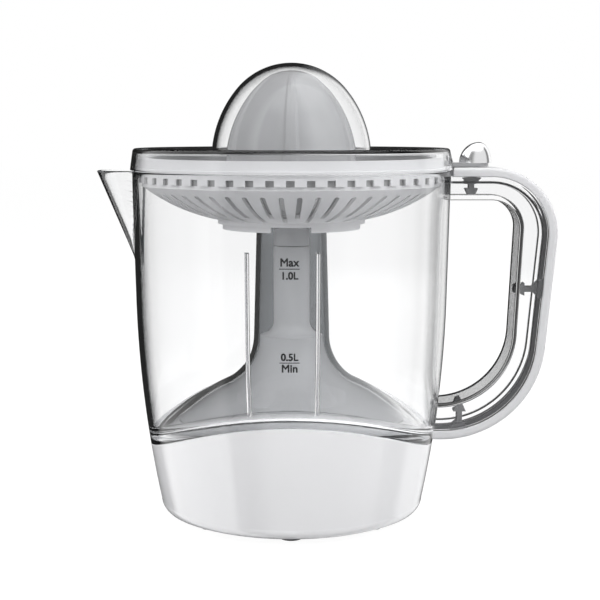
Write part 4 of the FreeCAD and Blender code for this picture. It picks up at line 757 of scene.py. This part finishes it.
# Up the outside of the wall
foot = seam_on_wall(jug_angles, SEAM_GAP)[None, :]
rows = np.linspace(0, 1, WALL_ROWS)[:, None]
outer_height = foot + rows * (RIM[1] - ROUND_RIM - foot)
outer_across = jug_radius(angles, outer_height, 0.0)

# Over the rim
rim_out, rim_in = (jug_radius(angles, np.full_like(foot, RIM[1]), inset) for inset in (0.0, JUG_WALL))
swing = np.linspace(0, np.pi, RIM_ROWS)[1:-1, None]
rim_across = (rim_out + rim_in) / 2 + (rim_out - rim_in) / 2 * np.cos(swing)
rim_height = RIM[1] - ROUND_RIM + ROUND_RIM * np.sin(swing) + 0 * angles

# Down the inside, with rows close together at the tops of the ribs
floor = seam_on_wall(jug_angles, SEAM_GAP + JUG_FLOOR, JUG_WALL)[None, :]
above_ribs = np.linspace(RIM[1] - ROUND_RIM, RIB_TOP + 0.2, 14)
rib_tops = RIB_TOP - np.arange(0, 1, 0.2)
below_top = RIB_TOP - 1
inner_height = np.concatenate([
    np.concatenate([above_ribs, rib_tops])[:, None] + 0 * angles,
    below_top + rows * (floor + FLOOR_FILLET - below_top)])
inner_across = jug_radius(angles, inner_height, JUG_WALL) - rib_height(angles, inner_height, floor + FLOOR_FILLET)

# The rounded corner between wall and floor
corner = np.linspace(0, np.pi / 2, 7)[1:, None]
wall_inside = wall_radius(floor, JUG_WALL)
corner_across = wall_inside - FLOOR_FILLET * (1 - np.cos(corner))
corner_height = floor_over_seam(angles, corner_across) + FLOOR_FILLET * (1 - np.sin(corner))

# Across the floor and up the bell and its tube
meet, bell = bell_profile(0.0, BELL_ROWS)
share = np.linspace(0, 1, FLOOR_ROWS, endpoint=False)[1:, None]
floor_across = wall_inside - FLOOR_FILLET + share * (meet[0] - wall_inside + FLOOR_FILLET)
floor_height = smooth_max(dome_height(floor_across, 0.0), floor_over_seam(angles, floor_across), FLOOR_BLEND)
bell_across = bell[:, :1] + 0 * angles
bell_height = smooth_max(bell[:, 1:], floor_over_seam(angles, bell_across), 0.01)

# Over the tube's mouth
mouth = np.linspace(0, np.pi, 7)[1:-1, None]
mouth_across = TUBE_TOP[0] - BELL_WALL / 2 + BELL_WALL / 2 * np.cos(mouth) + 0 * angles
mouth_height = TUBE_TOP[1] - ROUND_MOUTH + ROUND_MOUTH * np.sin(mouth) + 0 * angles

# Down inside the bell and out underneath to the foot of the wall
meet_in, bell_in = bell_profile(BELL_WALL, BELL_ROWS)
under_across = bell_in[::-1, :1] + 0 * angles
under_height = bell_in[::-1, 1:] + 0 * angles
share = np.linspace(0, 1, FLOOR_ROWS)[1:, None]
foot_across = wall_radius(foot) - 0.5
below_across = meet_in[0] + share * (foot_across - meet_in[0])
below_seam = seam_height(below_across * np.cos(angles), SEAM_GAP)
below_height = np.maximum(dome_height(below_across, BELL_WALL), below_seam)

jug_across = np.concatenate([outer_across, rim_across, inner_across, corner_across, floor_across, bell_across,
                             mouth_across, under_across, below_across])
jug_up = np.concatenate([outer_height, rim_height, inner_height, corner_height, floor_height, bell_height,
                         mouth_height, under_height, below_height])
jug_points = np.stack([jug_across * np.cos(angles), jug_across * np.sin(angles), jug_up], -1)
grid_piece("clear_jug", jug_points[::-1], "jug_with_handle", FINISH["clear_plastic"],
           replaces=("jug",))

# %% [markdown]
# ## Reamer cone
# The cone is a turned shape with six wide flutes between narrow ridges, one of which faces the front. Its
# outside is the turned profile with a depth taken off that depends on the angle to the nearest ridge. Inside
# it is hollow, with a stem whose six-sided socket takes the drive sleeve.

# %% Reamer cone
CONE_SKIRT, CONE_WAIST, CONE_SHOULDER, CONE_TIP = (36.0, 146.4), (33.3, 165.2), (14.5, 204.3), 209.4
CONE_BEND = 50.1
CONE_HOLLOW = [(33.8, 146.4), (26.7, 165.2), (10.5, 188.46), (10.5, 154.65)]
SOCKET_HALF, SOCKET_LOW, SOCKET_ROOF = 6.65, 154.65, 162.05
FLUTES, RIDGE_HALF, RIDGE_SIDE, STEP_DEPTH, HOLLOW_DEPTH = 6, 4.0, 3.0, 1.0, 1.8
FLUTE_LOW, FLUTE_FADE = 150.0, 12.0


def flute_depth(degrees, profile):
    """Depth taken off: none on the narrow ridges, a step beside each of them, and a hollow between two."""
    pitch = 360 / FLUTES
    away = np.abs((degrees + 90 + pitch / 2) % pitch - pitch / 2)
    share = np.clip((away - RIDGE_HALF) / RIDGE_SIDE, 0, 1)
    step = share * share * (3 - 2 * share)
    hollow = 1 - (1 - 2 * away / pitch) ** 2
    across, up = profile.T[:, :, None]
    fade = np.clip((up - FLUTE_LOW) / FLUTE_FADE, 0, 1) * np.minimum(across / CONE_WAIST[0], 1)
    return fade * (STEP_DEPTH * step + HOLLOW_DEPTH * hollow)


cone_degrees = np.linspace(0, 360, 480, endpoint=False)
cone_angles = np.radians(cone_degrees)
outside = np.concatenate([
    np.linspace(CONE_SKIRT, CONE_WAIST, 12, endpoint=False), arc(CONE_WAIST, CONE_SHOULDER, CONE_BEND, 36),
    ball_cap(CONE_SHOULDER, CONE_TIP, 18)])
cone_out = turned(outside, cone_angles)
shrink = 1 - flute_depth(cone_degrees, outside) / np.maximum(outside[:, :1], 1e-6)
cone_out[..., :2] *= shrink[..., None]
cone_in = turned(np.array(CONE_HOLLOW)[::-1], cone_angles)
flats = SOCKET_HALF / np.cos(np.radians(cone_degrees % 60 - 30))
socket = np.array([(0, SOCKET_ROOF), (1, SOCKET_ROOF), (1, SOCKET_LOW)])
socket_in = turned(socket, cone_angles)
socket_in[..., :2] *= flats[None, :, None]
CONE_FINISH = moulded_material(
    "cone_plastic", (0.36, 0.362, 0.37), gloss=0.16, drift=0.04, peel=0.04, coat=1.0)
grid_piece("fluted_cone", np.concatenate([socket_in, cone_in, cone_out]), "cone", CONE_FINISH,
           close_rows=False, replaces=("reamer_cone",))

# %% [markdown]
# ## Dust cover
# A clear turned cover: a short skirt, a flat ring, and a dome over the cone. Its skirt has a gate at the
# handle for the pulp control's tongue, so the skirt's lower edge rises there.

# %% Dust cover
COVER_WALL = 1.7
SKIRT_LOW, SKIRT_TOP = (75.0, 163.6), (73.6, 173.6)
SKIRT_INSIDE_LOW, SKIRT_INSIDE_TOP = 72.8, 72.0
DOME_FOOT, DOME_SHOULDER, DOME_TOP = (37.0, 173.6), (24.4, 202.0), 212.8
DOME_BEND = 51.3
GATE_HALF, GATE_TOP, GATE_FROM = 12.5, 167.55, 60.0


def dome_profile(inset):
    """The dome from its foot to its top, set in by inset: a flank arc and a ball's cap."""
    rise = DOME_TOP - DOME_SHOULDER[1]
    ball = (DOME_SHOULDER[0] ** 2 + rise ** 2) / (2 * rise)
    centre = DOME_TOP - ball
    shrink = (ball - inset) / ball
    shoulder = (DOME_SHOULDER[0] * shrink, centre + (DOME_SHOULDER[1] - centre) * shrink)
    flank = arc((DOME_FOOT[0] - inset, DOME_FOOT[1] - inset), shoulder, DOME_BEND - inset, 24)
    return np.concatenate([flank, ball_cap(shoulder, DOME_TOP - inset, 20)])


outer_dome, inner_dome = dome_profile(0.0), dome_profile(COVER_WALL)
skirt = supported(rounded([
    (DOME_FOOT[0] - COVER_WALL, SKIRT_TOP[1] - COVER_WALL),
    (SKIRT_INSIDE_TOP, SKIRT_TOP[1] - COVER_WALL, 0.8),
    (SKIRT_INSIDE_LOW, SKIRT_LOW[1], 0.4),
    (*SKIRT_LOW, 0.4),
    (*SKIRT_TOP, 1.6),
    DOME_FOOT,
], 7))
top_run = np.flatnonzero(np.isclose(skirt, DOME_FOOT).all(1))[0]
profile = np.concatenate([inner_dome[::-1], skirt[1:top_run], outer_dome])
cover_points = turned(profile, full_turn(240))
at_gate = np.clip((GATE_HALF + 1 - np.abs(cover_points[..., 1])) / 2, 0, 1) * (cover_points[..., 0] > GATE_FROM)
cover_points[..., 2] += np.maximum(GATE_TOP - cover_points[..., 2], 0) * at_gate
grid_piece("clear_cover", cover_points, "cover", FINISH["clear_plastic"], close_rows=False,
           replaces=("dust_cover",))

# %% [markdown]
# ## Handle
# The handle is a clear channel with two lips, open on its outside, and a pale strip closes it. Both follow two
# curves in the XZ plane, each made of a run from the rim, a bend, a slanted run, a wider bend and a run to the
# foot. A section carried between the two curves gives the channel, and one carried along the outer curve the
# strip. The strip's inner side, which shows through the channel, is painted dark as shade.

# %% Handle curves
GRIP_UPPER, GRIP_LOWER, GRIP_BENDS = (92.8, 133.7), (71.1, 84.7), (31.0, 48.2)
FINGER_UPPER, FINGER_LOWER, FINGER_BENDS = (92.5, 136.5), (69.1, 88.6), (13.2, 34.4)
GRIP_THICK, HANDLE_HALF, HANDLE_WALL, HANDLE_FIT = 4.2, 10.0, 2.2, 0.05
INSIDE_WALL = 60.0


def handle_curve(upper, lower, bends, inset):
    """Points down one long edge of the handle; the slanted run touches both bends."""
    upper, lower = np.array(upper), np.array(lower)
    first, last = (bend - inset for bend in bends)
    span = lower - upper
    length = np.hypot(*span)
    lean = (first - last) / length
    square = np.sqrt(1 - lean * lean)
    normal = np.array([lean * span[0] - square * span[1], lean * span[1] + square * span[0]]) / length
    top, bottom = upper + (0, first), lower - (0, last)
    start, end = upper + first * normal, lower + last * normal
    return np.concatenate([
        np.linspace((INSIDE_WALL, top[1]), top, 16, endpoint=False),
        arc(top, start, -first, 28),
        np.linspace(start, end, 20, endpoint=False),
        arc(end, bottom, -last, 40),
        np.linspace(bottom, (INSIDE_WALL, bottom[1]), 6),
    ])


def swept(inner, outer, section, depth):
    """A section (beside, deep) carried from the inner curve towards the outer one.

    Points in the outer half of the section keep their distance from the outer curve instead.
    """
    across = outer - inner
    gap = np.hypot(*across.T)[:, None]
    way = across / gap
    beside, deep = section.T
    deep = np.where(deep > depth / 2, deep - depth + gap, deep + 0 * gap)
    spot = inner[:, None, :] + way[:, None, :] * deep[..., None]
    return np.stack([spot[..., 0], beside + 0 * deep, spot[..., 1]], -1)


def against_wall(points, upper_limit, above):
    """Hold points outside the jug's wall, and outside a wider circle above a height."""
    limit = np.where(points[..., 2] > above, upper_limit, wall_radius(points[..., 2]) + HANDLE_FIT)
    edge = np.sqrt(limit ** 2 - points[..., 1] ** 2)
    points[..., 0] = np.maximum(points[..., 0], edge)
    return points


# %% Handle channel and strip
CHANNEL_DEPTH, LIP_WIDTH, LIP_THICK, LIP_SLOPE = 9.0, 3.2, 2.4, 0.5
STRIP_FROM, STRIP_ABOVE = 75.6, 140.0
strip_inner = handle_curve(GRIP_UPPER, GRIP_LOWER, GRIP_BENDS, GRIP_THICK)
strip_outer = handle_curve(GRIP_UPPER, GRIP_LOWER, GRIP_BENDS, 0.0)
channel_outer = handle_curve(GRIP_UPPER, GRIP_LOWER, GRIP_BENDS, GRIP_THICK + HANDLE_FIT)
channel_inner = handle_curve(FINGER_UPPER, FINGER_LOWER, FINGER_BENDS, 0.0)
wall_side = HANDLE_HALF - HANDLE_WALL
lip_side, lip_low = wall_side - LIP_WIDTH, CHANNEL_DEPTH - LIP_THICK
half_section = [
    (HANDLE_HALF, 0, 0.7), (HANDLE_HALF, CHANNEL_DEPTH, 0.3), (lip_side, CHANNEL_DEPTH, 0.3),
    (lip_side, lip_low, 0.6), (wall_side, lip_low - LIP_SLOPE, 0.4), (wall_side, HANDLE_WALL, 0.4)]
other_half = [(-beside, deep, bend) for beside, deep, bend in half_section[::-1]]
channel_section = supported(rounded(half_section + other_half))
channel = swept(channel_inner, channel_outer, channel_section, CHANNEL_DEPTH)
channel = against_wall(channel, RIM[0] + HANDLE_FIT, RIM[1])
grid_piece("handle_channel", channel, "jug_with_handle", FINISH["clear_plastic"],
           close_rows=False, cap_ends=True, replaces=("jug_handle",))
strip_section = supported(rounded([
    (-HANDLE_HALF, 0, 0.5), (HANDLE_HALF, 0, 0.5),
    (HANDLE_HALF, GRIP_THICK, 1.9), (-HANDLE_HALF, GRIP_THICK, 1.9)], 7))
strip = against_wall(swept(strip_inner, strip_outer, strip_section, GRIP_THICK), STRIP_FROM, STRIP_ABOVE)
# The mask marks the strip's inner side, where shade is painted in a dark colour.
inner_side = np.tile(strip_section[:, 1] < 0.01, len(strip)).astype(float)
grid_piece("grip_strip", strip, "jug_with_handle", FINISH["grip_plastic"],
           close_rows=False, cap_ends=True, replaces=("handle_grip",), mask=inner_side)

# %% [markdown]
# ## Return spring
# A steel wire wound on a helix lifts the spindle after pressing. A rigid solid can't get shorter, so the wire is
# drawn again as a tube along the helix.

# %% Return spring
COIL_RADIUS, WIRE_RADIUS, COIL_PITCH = 5.6, 0.5, 2.6
COIL_LOW, COIL_HIGH = 55.55, 66.45


def wound(count, sides):
    """A round wire on a helix: a circle in a plane through the axis, raised as it turns about the axis."""
    turns = np.linspace(0, (COIL_HIGH - COIL_LOW) / COIL_PITCH, count)[:, None]
    around = full_turn(sides)[None, :]
    across = COIL_RADIUS + WIRE_RADIUS * np.cos(around)
    up = COIL_LOW + COIL_PITCH * turns + WIRE_RADIUS * np.sin(around)
    return np.stack([across * np.cos(2 * np.pi * turns), across * np.sin(2 * np.pi * turns), up], -1)


spring = grid_piece("wound_spring", wound(160, 12), None, FINISH["steel"], close_rows=False,
                    cap_ends=True, replaces=("return_spring",))
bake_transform(spring)

# %% [markdown]
# ## Screws of the bottom plate
# Four flat-headed screws hold the bottom plate. Their heads are low, so that the base's edge hides them from
# someone who stands in front of it. One screw is a turned profile, and four copies of it make one mesh.

# %% Screws of the bottom plate
SCREW_CIRCLE, SCREW_CORNERS = 53.8, np.radians([45, 135, 225, 315])
HEAD_RADIUS, SHANK_RADIUS = 2.8, 1.5
SOLID_HEAD, HEAD_HEIGHT = 1.8, 0.8
screw_box = np.array(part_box("plate_screws")) / MM
HEAD_SEAT, SCREW_END = screw_box[0, 2] + SOLID_HEAD, screw_box[1, 2]
screw_profile = np.array([
    (0, HEAD_SEAT - HEAD_HEIGHT), (HEAD_RADIUS - 0.5, HEAD_SEAT - HEAD_HEIGHT),
    (HEAD_RADIUS, HEAD_SEAT - 0.4), (HEAD_RADIUS, HEAD_SEAT), (SHANK_RADIUS, HEAD_SEAT),
    (SHANK_RADIUS, SCREW_END), (0, SCREW_END)])
one_screw = turned(screw_profile, full_turn(32))
places = SCREW_CIRCLE * np.stack([np.cos(SCREW_CORNERS), np.sin(SCREW_CORNERS), 0 * SCREW_CORNERS], -1)
all_screws = one_screw.reshape(1, -1, 3) + places[:, None, :]
screw_faces = grid_faces(*one_screw.shape[:2], False, True)
all_faces = screw_faces[None] + (np.arange(len(places)) * all_screws.shape[1])[:, None, None]
screw_points, screw_corners = close_poles(all_screws.reshape(-1, 3), all_faces.reshape(-1, 4))
new_piece("flat_screws", screw_points, screw_corners, "base", FINISH["steel"],
          replaces=("plate_screws",))

# %% [markdown]
# ## Level marks
# Two level marks are printed on the front of the jug: a short line with words and a number beside it.
# Letters are made as flat text, turned into a mesh and wrapped onto the wall by its own radius formula.

# %% Level marks
INK = moulded_material("mark_ink", (0.012, 0.012, 0.013), gloss=0.45)
INK_LIFT, STROKE = 0.06, 0.19
MARK_MIDDLE, WORD_SIZE, NUMBER_SIZE = -0.4, 4.7, 4.3
LINE_HALF, LINE_THICK, LINE_POINTS = 4.3, 0.35, 9


def on_front(name, flat, faces):
    """A printed piece from flat points (across, up), put on the front of the wall, a hair outside it."""
    radius = wall_radius(flat[:, 1]) + INK_LIFT
    turn = -np.pi / 2 + flat[:, 0] / radius
    points = np.stack([radius * np.cos(turn), radius * np.sin(turn), flat[:, 1]], -1)
    new_piece(name, points, faces.tolist(), "jug_with_handle", INK, outward=False)


def bolder(flat, faces, stroke):
    """Flat triangles whose outline is pushed outwards by stroke.

    An edge that no second triangle shares belongs to the outline. Its outward normal is its direction turned
    by a quarter to the right, and each outline point moves along the mean of its two normals.
    """
    edges = np.concatenate([faces[:, [0, 1]], faces[:, [1, 2]], faces[:, [2, 0]]])
    numbers = edges[:, 0] * len(flat) + edges[:, 1]
    back = edges[:, 1] * len(flat) + edges[:, 0]
    outline = edges[~np.isin(numbers, back)]
    along = flat[outline[:, 1]] - flat[outline[:, 0]]
    normal = np.stack([along[:, 1], -along[:, 0]], -1) / np.linalg.norm(along, axis=1, keepdims=True)
    push = np.zeros_like(flat)
    np.add.at(push, outline[:, 0], normal)
    np.add.at(push, outline[:, 1], normal)
    length = np.linalg.norm(push, axis=1, keepdims=True)
    return flat + stroke * push / np.maximum(length, 0.7)


def printed(name, words, height, size):
    """One printed word, centred at a height on the front."""
    curve = bpy.data.curves.new(name, "FONT")
    curve.body = words
    curve.align_x = "CENTER"
    curve.align_y = "CENTER"
    curve.size = size
    curve.resolution_u = 4
    letters = bpy.data.objects.new(name, curve)
    scene.collection.objects.link(letters)
    bpy.context.view_layer.update()
    mesh = bpy.data.meshes.new_from_object(letters)
    bpy.data.objects.remove(letters)
    mesh.calc_loop_triangles()
    spots = np.zeros(len(mesh.vertices) * 3)
    mesh.vertices.foreach_get("co", spots)
    faces = np.zeros(len(mesh.loop_triangles) * 3, int)
    mesh.loop_triangles.foreach_get("vertices", faces)
    bpy.data.meshes.remove(mesh)
    faces = faces.reshape(-1, 3)
    flat = spots.reshape(-1, 3)[:, :2]
    first, second, third = flat[faces[:, 0]], flat[faces[:, 1]], flat[faces[:, 2]]
    turn = (second - first)[:, 0] * (third - first)[:, 1] - (second - first)[:, 1] * (third - first)[:, 0]
    faces = np.where(turn[:, None] < 0, faces[:, ::-1], faces)
    flat = bolder(flat, faces, STROKE) + (MARK_MIDDLE, height)
    on_front(name, flat, faces)


def printed_line(name, height):
    """A short level line at a height on the front."""
    across = np.linspace(MARK_MIDDLE - LINE_HALF, MARK_MIDDLE + LINE_HALF, LINE_POINTS)
    low, high = height - LINE_THICK / 2, height + LINE_THICK / 2
    flat = np.stack([np.tile(across, 2), np.repeat([low, high], LINE_POINTS)], -1)
    on_front(name, flat, grid_faces(2, LINE_POINTS, False, False))


printed("upper_word", "Max", 127.0, WORD_SIZE)
printed_line("upper_line", 124.4)
printed("upper_number", "1.0L", 121.4, NUMBER_SIZE)
printed("lower_number", "0.5L", 86.8, NUMBER_SIZE)
printed_line("lower_line", 84.5)
printed("lower_word", "Min", 81.9, WORD_SIZE)
